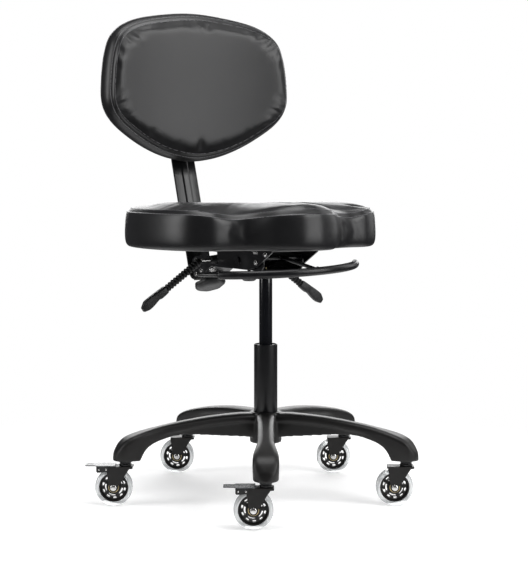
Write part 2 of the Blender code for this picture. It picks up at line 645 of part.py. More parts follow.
def ring_point(angle, radius=RING_RADIUS):
    return Vector((radius * sin(angle), -radius * cos(angle), RING_HEIGHT + RING_SLOPE * radius * sin(angle)))


def ring_arc(low, high, steps=14):
    return [ring_point(low + (high - low) * k / steps) for k in range(steps + 1)]


def ring_lever(steel, foam):
    """Bent release rod on its pivot, with the round grip over its front arc."""
    upright = Vector((0, 0, 1))
    covered = ring_arc(-GRIP_SPAN, ROD_SPAN[1])
    arc_path = [ring_point(ROD_SPAN[0]), ring_point((ROD_SPAN[0] - GRIP_SPAN) / 2)] + covered
    arc = loft(along(arc_path, lambda k: circle(RING_ROD_RADIUS, 8), upright))
    spoke_path = curve_through([
        ring_point(SPOKE_AT), ring_point(SPOKE_AT, 0.165) + Vector((0, 0, 0.004)), (0, RING_PIVOT_Y - 0.022, RING_PIVOT_Z),
        (0, RING_PIVOT_Y, RING_PIVOT_Z), (0, -0.020, VALVE_TOP + 0.0085),
        (0, 0.0060, VALVE_TOP + RING_ROD_RADIUS + 0.0005)], 3)
    spoke = loft(along(spoke_path, lambda k: circle(RING_ROD_RADIUS, 8), Vector((1, 0, 0))))
    cross = rod(RING_ROD_RADIUS, -RING_PIVOT_HALF, RING_PIVOT_HALF, "X", (0, RING_PIVOT_Y, RING_PIVOT_Z), 8)
    pivot = (0, RING_PIVOT_Y, RING_PIVOT_Z)
    part("ring_rod", united(arc, spoke, cross), steel, pivot)
    inner = RING_ROD_RADIUS + GAP
    outside = ring_arc(-GRIP_SPAN, GRIP_SPAN)
    inside = covered + [ring_point(ROD_SPAN[1] + radians(0.3))]
    rings = along(outside, lambda k: circle(GRIP_RADIUS if k < 14 else GRIP_RADIUS * 0.7, 10), upright)
    lining = along(inside, lambda k: circle(inner, 10), upright)[::-1]
    grip = grip_shell(rings, lining)
    hole = loft(along(spoke_path[:5], lambda k: circle(RING_ROD_RADIUS + GAP, 8), Vector((1, 0, 0))))
    part("ring_grip", carved(grip, hole), foam, pivot)


def grip_shell(rings, lining):
    """Sleeve open at one end: outer rings, a cap, then the lining rings back to the open end."""
    size = len(rings[0])
    rows = rings + lining
    vertices = [p for row in rows for p in row]
    faces = []
    for r in range(len(rows)):
        if r == len(rings) - 1:
            continue
        here, there = r * size, (r + 1) % len(rows) * size
        for k in range(size):
            n = (k + 1) % size
            faces.append((here + k, here + n, there + n, there + k))
    cap = (len(rings) - 1) * size
    faces.append(tuple(range(cap, cap + size)))
    faces.append(tuple(range(cap + size, cap + 2 * size)))
    return mesh_from(vertices, faces)


def lever_frame(side):
    """Knee of a side lever and the direction of its drooping stretch."""
    knee = Vector((side * LEVER_KNEE, LEVER_Y, LEVER_Z))
    return knee, Vector((side * cos(LEVER_DROOP), 0, -sin(LEVER_DROOP)))


def side_lever(side, name, steel, rubber, plastic):
    """Lever rod through the tray's wall, its gaiter and its finger paddle."""
    pivot = (side * (HOUSING_HALF - HOUSING_SHEET / 2), LEVER_Y, LEVER_Z)
    knee, down = lever_frame(side)
    paddle_start = BELLOWS_START + BELLOWS_LENGTH + 2 * GAP
    path = [Vector((side * (HOUSING_HALF - 0.012), LEVER_Y, LEVER_Z)), knee - Vector((side * 0.010, 0, 0)),
            knee - Vector((side * 0.003, 0, 0.0004)), knee + down * 0.004, knee + down * 0.012,
            knee + down * (paddle_start + 0.015)]
    part(f"lever_rod_{name}", loft(along(path, lambda k: circle(LEVER_ROD_RADIUS, 8), Vector((0, 1, 0)))),
         steel, pivot)
    pitch = BELLOWS_LENGTH / BELLOWS_RINGS
    bore = LEVER_ROD_RADIUS + GAP
    outline = [(bore, BELLOWS_START)]
    for k in range(BELLOWS_RINGS):
        start = BELLOWS_START + k * pitch
        outline += [(BELLOWS_VALLEY, start), (BELLOWS_OUTER, start + pitch * 0.5)]
    outline += [(BELLOWS_VALLEY, BELLOWS_START + BELLOWS_LENGTH), (bore, BELLOWS_START + BELLOWS_LENGTH)]
    turn = Matrix.Translation(knee) @ down.to_track_quat("Z", "Y").to_matrix().to_4x4()
    gaiter = turned(outline, 10)
    gaiter.transform(turn)
    part(f"bellows_{name}", gaiter, rubber, pivot)
    stations = ((0.0, 0.0085, 0.0075), (0.012, 0.0100, 0.0080), (0.026, 0.0112, 0.0078), (0.044, PADDLE_HALF, 0.0066),
                (0.060, PADDLE_HALF - 0.0015, 0.0055), (0.069, PADDLE_HALF - 0.004, 0.0044), (PADDLE_LENGTH, 0.0055, 0.0030))
    rings = []
    across, up = Vector((0, 1, 0)), Vector((side * sin(LEVER_DROOP), 0, cos(LEVER_DROOP)))
    for along_lever, half_deep, half_thick in stations:
        middle = knee + down * (paddle_start + along_lever)
        rings.append([middle + across * a + up * b for a, b in rounded(half_thick, half_deep, half_thick * 0.6, 2)])
    socket = rod(LEVER_ROD_RADIUS + GAP, 0.0, paddle_start + 0.016, steps=10)
    socket.transform(turn)
    part(f"paddle_{name}", carved(loft(rings), socket), plastic, pivot)


def knob_outline(radius, thick, stud, reach):
    """Domed hand knob whose threaded stud points up the axis."""
    return [(0, -thick), (radius * 0.55, -thick * 0.98), (radius * 0.86, -thick * 0.82), (radius, -thick * 0.5),
            (radius, -thick * 0.15), (radius * 0.94, 0), (stud, 0), (stud, reach), (0, reach)]


def tension_knob(plastic):
    top = HOUSING_BOTTOM - 0.006
    mesh = turned(knob_outline(TENSION_RADIUS, top - TENSION_BOTTOM, 0.0040, 0.0130), 16, "Z", (0, TENSION_Y, top))
    part("tension_knob", mesh, plastic, (0, TENSION_Y, top))


# ---------------------------------------------------------------- back support
def bar_axes():
    """Foot of the bar, its direction toward the heel and the direction square to it, up."""
    foot = Vector((0, *BAR_FOOT))
    forward = (Vector((0, *BAR_HEEL)) - foot).normalized()
    return foot, forward, Vector((1, 0, 0)).cross(forward).normalized()


def back_bracket(steel):
    """Channel that holds the bar's lower leg, hinged on the tray's rear pin."""
    foot, forward, up = bar_axes()
    half = BAR_HALF + RUNNING + BRACKET_SHEET
    under = BAR_THICK / 2 + GAP + BRACKET_SHEET
    near = foot - up * under - forward * 0.016
    far = foot + forward * 0.088 - up * under
    outline = [(BACK_PIVOT_Y - 0.009, BACK_PIVOT_Z - 0.006), (BACK_PIVOT_Y - 0.009, BACK_PIVOT_Z + 0.006),
               (BACK_PIVOT_Y, BACK_PIVOT_Z + 0.007), (0.2600, 0.5040), (0.2770, 0.4950), (far.y + 0.003, far.z + 0.012),
               (far.y, far.z), (near.y, near.z), (BACK_PIVOT_Y + 0.008, BACK_PIVOT_Z - 0.0065)]
    mesh = slab(outline, half)
    low = -(BAR_THICK / 2 + GAP)
    trough = [foot + forward * a + up * b for a, b in ((-0.0065, low), (0.14, low), (0.14, 0.08), (-0.0065, 0.08))]
    mesh = carved(mesh, slab([(p.y, p.z) for p in trough], BAR_HALF + RUNNING))
    pin = rod(BACK_PIN_RADIUS + GAP, -0.1, 0.1, "X", (0, BACK_PIVOT_Y, BACK_PIVOT_Z), 14)
    mesh = carved(mesh, pin)
    stud = rod(0.0050 + RUNNING, -0.03, 0.0, steps=14)
    stud.transform(knob_frame())
    stud.transform(Matrix.Translation(up * (KNOB_DROP + 0.001)))
    pivot = (0, BACK_PIVOT_Y, BACK_PIVOT_Z)
    part("back_bracket", carved(mesh, stud), steel, pivot)
    head = HOUSING_HALF + GAP
    part("back_pin", turned([
        (0, -head - 0.003), (0.0065, -head - 0.0025), (0.0065, -head), (BACK_PIN_RADIUS, -head),
        (BACK_PIN_RADIUS, head), (0.0065, head), (0.0065, head + 0.0025), (0, head + 0.003)], 14, "X", pivot),
        steel, pivot)


def knob_frame():
    """Frame at the hand knob's centre with its axis square to the bar's lower leg."""
    foot, forward, up = bar_axes()
    centre = foot + forward * KNOB_ALONG - up * KNOB_DROP
    return Matrix.Translation(centre) @ up.to_track_quat("Z", "X").to_matrix().to_4x4()


def back_knob(plastic):
    reach = KNOB_DROP - KNOB_THICK / 2 - BAR_THICK / 2 - GAP
    mesh = turned(knob_outline(KNOB_RADIUS, KNOB_THICK, 0.0050, reach - GAP), 24)
    mesh.transform(Matrix.Translation((0, 0, KNOB_THICK / 2)))
    frame = knob_frame()
    mesh.transform(frame)
    part("back_knob", mesh, plastic, frame.translation)


def bent_path(corners, radius, steps=5):
    """Straight runs between corners joined by round bends."""
    path = [corners[0]]
    for before, corner, after in zip(corners, corners[1:], corners[2:]):
        coming, going = (before - corner).normalized(), (after - corner).normalized()
        angle = coming.angle(going)
        reach = radius / tan(angle / 2)
        centre = corner + (coming + going).normalized() * hypot(radius, reach)
        start = (corner + coming * reach - centre).normalized()
        end = (corner + going * reach - centre).normalized()
        path += [centre + start.slerp(end, k / steps) * radius for k in range(steps + 1)]
    return path + [corners[-1]]


def back_bar(steel):
    """Flat steel bar with a pressed rib: lower leg in the bracket, then up behind the seat to the back."""
    foot, heel, nape = (Vector((0, *p)) for p in (BAR_FOOT, BAR_HEEL, BAR_NAPE))
    top = Vector((0, BAR_NAPE[0], BAR_TOP))
    path = bent_path([foot, heel, nape, top], BEND_RADIUS)
    lean = (nape - heel).normalized()
    extra = [heel + lean * d for d in (0.11, 0.14, 0.17)]
    path = path[:7] + extra + path[7:]
    ribbed = range(8, len(path))

    def section(k):
        rise = BAR_RIB if k in ribbed else 0.0
        half, thick = BAR_HALF, BAR_THICK / 2
        front = [(-half, -thick), (half, -thick), (half, thick), (0.0090, thick), (0.0060, thick + rise),
                 (-0.0060, thick + rise), (-0.0090, thick), (-half, thick)]
        return front
    foot_pivot = foot
    part("back_bar", loft(along(path, section)), steel, foot_pivot)


def back_shape(outline, inset, depth, crown=0.0):
    """Ring of the back at a depth behind its front seam; the sides reach forward."""
    return [Vector((p.x, BACK_FACE + depth - BACK_CURVE * p.x ** 2 - crown, BACK_CENTRE + p.y))
            for p in pushed_out(outline, -inset)]


def shrunk(outline, depth, share, crown):
    return [Vector((p.x * share, BACK_FACE + depth - BACK_CURVE * (p.x * share) ** 2 - crown,
                    BACK_CENTRE + p.y * share)) for p in outline]


def back_pieces(vinyl, plastic):
    """Upholstered pad and the moulded shell behind it, with the sleeve that slides on the bar."""
    outline = curve_through(mirrored(BACK_HALF_OUTLINE), 2, closed=True)
    rings = [shrunk(outline, 0, share, BACK_CROWN) for share in (0.10, 0.35, 0.65)]
    rings += [back_shape(outline, 0.020, 0, BACK_CROWN * 0.9), back_shape(outline, 0, 0.001),
              back_shape(outline, -BACK_BULGE, 0.025), back_shape(outline, -BACK_BULGE * 0.5, 0.050),
              back_shape(outline, 0.008, BACK_THICK)]
    rings += [shrunk(outline, BACK_THICK, share, 0) for share in FACE_SHARES]
    seat = (0, BAR_NAPE[0], BACK_CENTRE)
    part("back_cushion", loft(rings), vinyl, seat)
    front = BACK_THICK + SHELL_GAP
    rear = front + SHELL_THICK
    rings = [shrunk(outline, front, share, 0) for share in reversed(FACE_SHARES)]
    rings += [back_shape(outline, SHELL_INSET, front), back_shape(outline, SHELL_INSET, rear)]
    rings += [shrunk(outline, rear, share, 0) for share in FACE_SHARES]
    shell = loft(rings)
    half = BAR_HALF + RUNNING + SLEEVE_WALL
    slot_front = BAR_NAPE[0] - BAR_THICK / 2 - BAR_RIB - RUNNING
    slot_rear = BAR_NAPE[0] + BAR_THICK / 2 + RUNNING
    low = BACK_CENTRE - SLEEVE_LENGTH * 0.62
    sleeve = box((-half, BACK_FACE + front + SHELL_THICK * 0.4, low), (half, slot_rear + SLEEVE_WALL, low + SLEEVE_LENGTH))
    shell = united(shell, sleeve)
    slot = box((-BAR_HALF - RUNNING, slot_front, 0.5), (BAR_HALF + RUNNING, slot_rear, 1.5))
    part("back_shell", carved(shell, slot), plastic, seat)


# ---------------------------------------------------------------- seat
def seam_height(x, y):
    """Height of the seat's top seam: it dips at the thigh hollows and rises over the nose."""
    front = ease(-y, 0.0, 0.10)
    dip = 2.718281828 ** (-((abs(x) - 0.135) / 0.055) ** 2)
    return SEAM_HEIGHT - THIGH_DIP * front * dip


def crown_height(x, y, share):
    """Height of the seat's top surface; share is 0 at the seam and 1 in the middle."""
    nose = ease(-y, 0.05, 0.17) * 2.718281828 ** (-(x / 0.075) ** 2)
    return seam_height(x, y) + SEAT_CROWN * sqrt(max(share, 0.0)) + NOSE_RISE * nose * min(share * 3, 1.0)


def seat_ring(outline, inset, height):
    return [Vector((p.x, p.y, height)) for p in pushed_out(outline, -inset)]


def seat_pieces(vinyl, wood):
    """Board and upholstered cushion, both tilting on the tray's pin."""
    outline = curve_through(mirrored(SEAT_HALF_OUTLINE), 2, closed=True)
    rings = [seat_ring(outline, 0.012, SEAT_UNDERSIDE), seat_ring(outline, 0.006, SEAT_UNDERSIDE + 0.004),
             seat_ring(outline, 0.001, SEAT_UNDERSIDE + 0.018), seat_ring(outline, 0, SEAT_UNDERSIDE + 0.038)]
    for inset, share in ((0.003, 0.0), (0.012, 0.20), (0.035, 0.50)):
        rings.append([Vector((p.x, p.y, crown_height(p.x, p.y, share))) for p in pushed_out(outline, -inset)])
    for scale, share in ((0.70, 0.85), (0.40, 1.0)):
        rings.append([Vector((p.x * scale, p.y * scale, crown_height(p.x * scale, p.y * scale, share)))
                      for p in outline])
    board_outline = pushed_out(outline, -BOARD_INSET)
    top = SEAT_UNDERSIDE + BOARD_THICK
    recess = slab([(p.x, p.y) for p in pushed_out(board_outline, 2 * GAP)], (SEAT_UNDERSIDE - 0.02, top + GAP), "Z")
    pivot = (0, TILT_Y, TILT_Z)
    part("seat_cushion", carved(loft(rings), recess), vinyl, pivot)
    part("seat_board", slab([(p.x, p.y) for p in board_outline], (SEAT_UNDERSIDE, top), "Z"), wood, pivot)


# ---------------------------------------------------------------- the whole stool
def build():
    for piece in list(bpy.data.objects):
        bpy.data.objects.remove(piece)
    nylon = finish("black_nylon", (0.035, 0.033, 0.034), 0.42)
    black_steel = finish("black_steel", (0.020, 0.021, 0.024), 0.32, 0.4)
    zinc = finish("zinc_steel", (0.62, 0.61, 0.58), 0.30, 1.0)
    brass = finish("yellow_zinc", (0.60, 0.45, 0.20), 0.32, 1.0)
    urethane = finish("clear_urethane", (0.82, 0.83, 0.82), 0.18)
    rubber = finish("gaiter_rubber", (0.045, 0.045, 0.047), 0.60)
    plastic = finish("grey_plastic", (0.060, 0.060, 0.062), 0.45)
    vinyl = finish("black_vinyl", (0.030, 0.030, 0.033), 0.38)
    liner = finish("seat_liner", (0.025, 0.025, 0.025), 0.90)
    star_base(nylon)
    column(black_steel, zinc, brass)
    casters(nylon, urethane, zinc, brass)
    brake_pedals(nylon)
    mech_housing(black_steel)
    seat_plate(black_steel)
    ring_lever(black_steel, rubber)
    side_lever(-1, "right", zinc, rubber, plastic)
    side_lever(1, "left", zinc, rubber, plastic)
    tension_knob(plastic)
    back_bracket(black_steel)
    back_knob(plastic)
    back_bar(black_steel)
    seat_pieces(vinyl, liner)
    back_pieces(vinyl, plastic)


build()
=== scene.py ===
# %% [markdown]
# # An adjustable swivel stool
# A saddle-shaped seat and a padded back stand on a gas column with a five-arm base and braked casters. The
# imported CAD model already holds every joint, so this lesson only dresses it: each moving body gets finely
# modelled pieces that ride on it, and every finish is worked out by shader nodes.

import json
from math import atan2, cos, exp, hypot, pi, radians, sin, sqrt, tan

import bmesh
import bpy
import numpy as np
from mathutils import Matrix, Vector, noise


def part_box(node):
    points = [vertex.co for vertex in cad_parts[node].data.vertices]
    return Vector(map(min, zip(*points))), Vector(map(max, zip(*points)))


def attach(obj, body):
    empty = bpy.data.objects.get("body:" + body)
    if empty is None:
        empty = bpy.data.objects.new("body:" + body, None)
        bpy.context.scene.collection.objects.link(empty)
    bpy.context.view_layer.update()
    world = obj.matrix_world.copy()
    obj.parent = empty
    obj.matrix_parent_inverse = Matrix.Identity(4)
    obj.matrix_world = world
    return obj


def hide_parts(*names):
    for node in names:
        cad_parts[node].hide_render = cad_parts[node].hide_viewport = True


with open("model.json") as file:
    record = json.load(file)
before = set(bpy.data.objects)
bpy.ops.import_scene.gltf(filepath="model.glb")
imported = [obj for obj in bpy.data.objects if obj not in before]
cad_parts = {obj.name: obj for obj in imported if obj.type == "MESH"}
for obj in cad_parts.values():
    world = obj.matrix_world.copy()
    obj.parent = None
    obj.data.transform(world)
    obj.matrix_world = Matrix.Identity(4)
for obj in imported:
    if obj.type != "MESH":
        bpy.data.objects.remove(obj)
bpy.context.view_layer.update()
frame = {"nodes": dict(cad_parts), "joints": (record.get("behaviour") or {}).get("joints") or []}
scene = bpy.context.scene

# %% [markdown]
# ## Where things stand
# The gas column is the stool's spine, so its axis is measured first. Everything that turns is then placed
# around that line, or around the middle of its own CAD node.

# %% Find the column and the joints
def middle(node):
    """Middle of a CAD node's box."""
    low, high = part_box(node)
    return (low + high) / 2


def span(node):
    """Lengths of a CAD node's box."""
    low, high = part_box(node)
    return high - low


column = Vector((*middle("outer_tube").xy, 0))
joints = {joint["name"]: joint for joint in frame["joints"]}
RIGHT, UP = Vector((1, 0, 0)), Vector((0, 0, 1))
print("column axis at", [round(value, 4) for value in column.xy])

# %% [markdown]
# ## Shader maths as Python
# A material is a net of nodes. Written out one by one, nodes hide what they compute, so a small class
# stands for a socket and Python's own operators add the Math nodes. Numbers that belong to a colour or a
# vector go through Vector Math, because a Math node would turn a colour grey.

# %% Wrap a socket
class Wire:
    """A value, colour or vector on its way through a material."""

    def __init__(self, tree, socket):
        self.tree, self.socket = tree, socket

    def node(self, kind, settings=(), inputs=(), output=0):
        """Any node: settings first, then what its sockets hold or are linked to. Returns one of its outputs."""
        made = self.tree.nodes.new(kind)
        for name, value in dict(settings).items():
            setattr(made, name, value)
        for key, value in dict(inputs).items():
            if isinstance(value, Wire):
                value.to(made.inputs[key])
            else:
                made.inputs[key].default_value = value
        return Wire(self.tree, made.outputs[output])

    def to(self, socket):
        self.tree.links.new(self.socket, socket)

    def maths(self, operation, first, second):
        wide = any(isinstance(x, tuple) or isinstance(x, Wire) and x.socket.type in ("RGBA", "VECTOR")
                   for x in (first, second))
        if wide:
            first, second = ((x, x, x) if isinstance(x, (int, float)) else x for x in (first, second))
        kind = "ShaderNodeVectorMath" if wide else "ShaderNodeMath"
        return self.node(kind, {"operation": operation}, {0: first, 1: second})

    def __add__(self, other):
        return self.maths("ADD", self, other)

    def __sub__(self, other):
        return self.maths("SUBTRACT", self, other)

    def __rsub__(self, other):
        return self.maths("SUBTRACT", other, self)

    def __mul__(self, other):
        return self.maths("MULTIPLY", self, other)

    __radd__, __rmul__ = __add__, __mul__

    def between(self, low, high):
        """0 where the value is under low, 1 where it is over high, smooth in between."""
        return self.node("ShaderNodeMapRange", {"interpolation_type": "SMOOTHSTEP"},
                         {"Value": self, "From Min": low, "From Max": high})

    def blend(self, none, full):
        """The colour `none` where this mask is 0 and `full` where it is 1."""
        colours = [x if isinstance(x, Wire) else (*x, 1.0) for x in (none, full)]
        return self.node("ShaderNodeMix", {"data_type": "RGBA"},
                         {"Factor": self, 6: colours[0], 7: colours[1]}, 2)


print("Wire is ready")

# %% [markdown]
# ## The start of every finish
# Each finish is one Principled shader. What is the same all over is set on its sockets. What changes over
# the surface starts from object coordinates, in metres, so a grain keeps its real size on every piece.

# %% Start a finish
def start_finish(name, roughness, metallic=0.0, **fixed):
    """A new material with its shader and the place on the surface, in metres."""
    material = bpy.data.materials.new(name)
    material.use_nodes = True
    tree = material.node_tree
    shader = tree.nodes["Principled BSDF"]
    shader.inputs["Roughness"].default_value = roughness
    shader.inputs["Metallic"].default_value = metallic
    for socket, value in fixed.items():
        shader.inputs[socket.replace("_", " ")].default_value = value
    return material, shader, Wire(tree, tree.nodes.new("ShaderNodeTexCoord").outputs["Object"])


def cloud(place, size, detail=3.0, warp=0.0):
    """Soft noise whose blotches are about `size` metres across."""
    return place.node("ShaderNodeTexNoise", {}, {"Vector": place, "Scale": 1 / size, "Detail": detail,
                                                 "Distortion": warp})


def cells(place, size):
    """Distance from the middles of irregular cells about `size` metres across."""
    return place.node("ShaderNodeTexVoronoi", {"feature": "F1"}, {"Vector": place, "Scale": 1 / size})


def edges(place):
    """1 along convex edges, where a finish wears first."""
    pointiness = place.node("ShaderNodeNewGeometry", output="Pointiness")
    return pointiness.between(0.53, 0.60)


def relief(shader, place, height, depth, strength=1.0):
    """Small relief of that height map, `depth` metres deep."""
    bump = place.node("ShaderNodeBump", {}, {"Height": height, "Distance": depth, "Strength": strength})
    bump.to(shader.inputs["Normal"])


print("finishes can be mixed now")

# %% [markdown]
# ## Moulded black plastic
# The base, forks and wheel hubs are glass-filled nylon: nearly black with a warm tone, a fine spark-eroded
# texture, slightly paler where hands and shoes rub its edges. Fine noise as relief gives the satin look,
# and a larger noise breaks the gloss up so that a long highlight isn't perfectly even.

# %% Mix the nylon
def mix_nylon():
    material, shader, place = start_finish("black_nylon", 0.42, Specular_IOR_Level=0.36)
    blotch, grain = cloud(place, 0.035), cloud(place, 0.0011, 2.0)
    dust = edges(place) * 0.5 * blotch.between(0.35, 0.65)
    body = blotch.blend((0.0050, 0.0046, 0.0044), (0.0082, 0.0074, 0.0070))
    dust.blend(body, (0.034, 0.032, 0.030)).to(shader.inputs["Base Color"])
    (0.33 + 0.10 * blotch + 0.08 * grain).to(shader.inputs["Roughness"])
    relief(shader, place, grain, 0.00016, 0.5)
    return material


nylon = mix_nylon()
print("mixed", nylon.name)

# %% [markdown]
# ## Painted and plated steel
# Sheet-metal parts carry a glossy black powder coat with a slight orange peel. The column's tubes are
# smoother, with a clear lacquer over the colour. Bolts and axles are bright zinc, and the ball races yellow
# zinc: metals whose plating drifts in colour and holds fine draw marks.

# %% Mix the steels
def mix_powder(name, colour, gloss, peel):
    """Powder coat; peel is the depth of its orange-peel relief."""
    material, shader, place = start_finish(name, gloss, Coat_Roughness=0.12, Specular_IOR_Level=0.38)
    shader.inputs["Coat Weight"].default_value = 0.15
    drift, skin = cloud(place, 0.05), cells(place, 0.0016)
    worn = edges(place) * 0.45 * drift.between(0.45, 0.70)
    tone = drift.blend(tuple(0.85 * c for c in colour), tuple(1.2 * c for c in colour))
    worn.blend(tone, (0.060, 0.060, 0.063)).to(shader.inputs["Base Color"])
    (gloss - 0.04 + 0.12 * drift).to(shader.inputs["Roughness"])
    relief(shader, place, skin, peel, 0.35)
    return material


def mix_plated(name, pale, deep, gloss):
    """Zinc plate between two tints, with fine marks from drawing and tumbling."""
    material, shader, place = start_finish(name, gloss, 1.0)
    drift, marks = cloud(place, 0.006), cloud(place * (1.0, 1.0, 9.0), 0.0012, 2.0)
    drift.between(0.35, 0.65).blend(deep, pale).to(shader.inputs["Base Color"])
    (gloss - 0.05 + 0.14 * marks).to(shader.inputs["Roughness"])
    relief(shader, place, marks, 0.00006, 0.4)
    return material


powder = mix_powder("black_powder_coat", (0.0060, 0.0062, 0.0070), 0.28, 0.00022)
lacquer = mix_powder("black_tube_lacquer", (0.0055, 0.0060, 0.0080), 0.12, 0.00002)
zinc = mix_plated("bright_zinc", (0.72, 0.71, 0.69), (0.50, 0.50, 0.50), 0.22)
yellow_zinc = mix_plated("yellow_zinc", (0.66, 0.52, 0.25), (0.48, 0.40, 0.24), 0.28)
print("mixed", [m.name for m in (powder, lacquer, zinc, yellow_zinc)])

# %% [markdown]
# ## Rubber, grips and small plastics
# The gaiters and boots are matt rubber with a bloom of dust in the folds. The round grip is a satin tube.
# The paddles and knobs are grey-black mouldings with a light grain. One recipe serves all of them.

# %% Mix the rubbers and plastics
def mix_moulded(name, dark, pale, gloss, grain, depth):
    """Moulded surface between two tones, with a leathery grain of that size and depth."""
    material, shader, place = start_finish(name, gloss, Specular_IOR_Level=0.36)
    drift, pebble = cloud(place, 0.012), cells(place, grain)
    (drift.between(0.3, 0.7) * 0.6 + edges(place) * 0.4).blend(dark, pale).to(shader.inputs["Base Color"])
    (gloss - 0.05 + 0.12 * drift).to(shader.inputs["Roughness"])
    relief(shader, place, pebble, depth, 0.5)
    return material


rubber = mix_moulded("gaiter_rubber", (0.007, 0.007, 0.007), (0.020, 0.020, 0.021), 0.55, 0.0009, 0.00010)
grip_skin = mix_moulded("grip_tube", (0.006, 0.006, 0.007), (0.011, 0.011, 0.012), 0.30, 0.0007, 0.00004)
plastic = mix_moulded("paddle_plastic", (0.012, 0.012, 0.013), (0.032, 0.032, 0.033), 0.38, 0.0010, 0.00010)
pedal_plastic = mix_moulded("pedal_plastic", (0.075, 0.078, 0.082), (0.14, 0.145, 0.15), 0.24, 0.0012,
                            0.00006)
thread = mix_moulded("grey_thread", (0.17, 0.17, 0.18), (0.30, 0.30, 0.31), 0.65, 0.0004, 0.00008)
print("mixed", [m.name for m in (rubber, grip_skin, plastic, pedal_plastic, thread)])

# %% [markdown]
# ## Clear urethane
# The tyres are water-clear urethane, so the hub's rim shows through and the tread's edges look dark. A
# constant transmission does this in the shader, with a faint milky drift in the colour and scuffs that
# roughen the tread.

# %% Mix the urethane
def mix_urethane():
    material, shader, place = start_finish("clear_urethane", 0.12, IOR=1.45)
    shader.inputs["Transmission Weight"].default_value = 0.55
    scuff, drift = cloud(place, 0.0035, 4.0, 0.5), cloud(place, 0.02)
    drift.blend((0.80, 0.82, 0.83), (0.93, 0.94, 0.94)).to(shader.inputs["Base Color"])
    (0.08 + 0.10 * scuff.between(0.50, 0.72)).to(shader.inputs["Roughness"])
    relief(shader, place, scuff, 0.00005, 0.15)
    return material


urethane = mix_urethane()
print("mixed", urethane.name)

# %% [markdown]
# ## Black vinyl and the seat's liner
# The covers are upholstery vinyl: a pebbled print of cells under a millimetre wide, with finer creases
# between them, a soft sheen, and a gloss that drops where the sheet is stretched. The board under the seat
# is closed by a matt non-woven liner, whose fibres are a stretched noise in two directions.

# %% Mix the covers
def mix_vinyl():
    material, shader, place = start_finish("black_vinyl", 0.34, Specular_IOR_Level=0.45, Coat_Roughness=0.30)
    shader.inputs["Coat Weight"].default_value = 0.12
    drift, pore = cloud(place, 0.06), cloud(place, 0.0005, 2.0)
    pebble = cells(place + (0.0006, 0.0006, 0.0006) * cloud(place, 0.004), 0.00105)
    drift.blend((0.0056, 0.0056, 0.0064), (0.0090, 0.0090, 0.0098)).to(shader.inputs["Base Color"])
    (0.30 + 0.07 * drift + 0.10 * pebble).to(shader.inputs["Roughness"])
    relief(shader, place, 0.75 * pebble + 0.25 * pore, 0.00022, 0.32)
    return material


def mix_liner():
    material, shader, place = start_finish("seat_liner", 0.92, Sheen_Weight=0.25)
    fibres = cloud(place * (1.0, 6.0, 1.0), 0.0022, 4.0) + cloud(place * (6.0, 1.0, 1.0), 0.0022, 4.0)
    (fibres * 0.5).blend((0.006, 0.006, 0.006), (0.030, 0.030, 0.031)).to(shader.inputs["Base Color"])
    relief(shader, place, fibres, 0.0003, 0.6)
    return material


vinyl, liner = mix_vinyl(), mix_liner()
print("mixed", vinyl.name, "and", liner.name)

# %% [markdown]
# ## Tools for making meshes
# Four shapes make nearly every hard piece here: a skin over rings of points, a profile turned on a lathe, a
# section swept along a path, and a flat outline pushed out to a plate. A last tool hangs a finished mesh on
# its CAD body.

# %% Curves and sections
def smooth_curve(points, steps=8, closed=False):
    """Points of a Catmull-Rom curve through the given ones."""
    knots = [Vector(p) for p in points]
    count = len(knots)
    pick = (lambda i: knots[i % count]) if closed else (lambda i: knots[min(max(i, 0), count - 1)])
    out = []
    for index in range(count if closed else count - 1):
        a, b, c, d = (pick(index + k) for k in (-1, 0, 1, 2))
        for t in (step / steps for step in range(steps)):
            out.append(0.5 * (2 * b + (c - a) * t + (2 * a - 5 * b + 4 * c - d) * t * t
                              + (3 * b - a - 3 * c + d) * t ** 3))
    return out if closed else out + [knots[-1]]


def ease(x, low, high):
    """0 below low, 1 above high, smooth between."""
    t = min(max((x - low) / (high - low), 0.0), 1.0)
    return t * t * (3 - 2 * t)


def read_curve(curve, x):
    """Second coordinate of a curve of points with rising first coordinate."""
    return float(np.interp(x, [p[0] for p in curve], [p[1] for p in curve]))


def circle(radius, steps=20):
    return [(radius * cos(2 * pi * k / steps), radius * sin(2 * pi * k / steps)) for k in range(steps)]


def rounded(half_a, half_b, corner, steps=4):
    """Rectangle with round corners, as (across, up) points."""
    out = []
    for index, (sa, sb) in enumerate(((1, 1), (-1, 1), (-1, -1), (1, -1))):
        for a in ((index + step / steps) * pi / 2 for step in range(steps + 1)):
            out.append((sa * (half_a - corner) + corner * cos(a), sb * (half_b - corner) + corner * sin(a)))
    return out


def rounded_corners(outline, radius, steps=4):
    """Closed outline of flat points with every corner rounded, less where its sides are short."""
    corners = [Vector(p) for p in outline]
    out = []
    for k, corner in enumerate(corners):
        before, after = corners[k - 1], corners[(k + 1) % len(corners)]
        room = min(radius, 0.45 * (before - corner).length, 0.45 * (after - corner).length)
        start = corner + (before - corner).normalized() * room
        end = corner + (after - corner).normalized() * room
        for t in (step / steps for step in range(steps + 1)):
            out.append((1 - t) ** 2 * start + 2 * t * (1 - t) * corner + t * t * end)
    return out


print("a rounded square has", len(rounded(1, 1, 0.2)), "points")

# %% Skins, lathe, sweep and plate
def mesh_of(points, faces):
    """Mesh with its faces pointing out."""
    mesh = bpy.data.meshes.new("shape")
    mesh.from_pydata([tuple(p) for p in points], [], faces)
    work = bmesh.new()
    work.from_mesh(mesh)
    bmesh.ops.recalc_face_normals(work, faces=work.faces)
    if work.calc_volume(signed=True) < 0:
        bmesh.ops.reverse_faces(work, faces=work.faces)
    work.to_mesh(mesh)
    work.free()
    return mesh


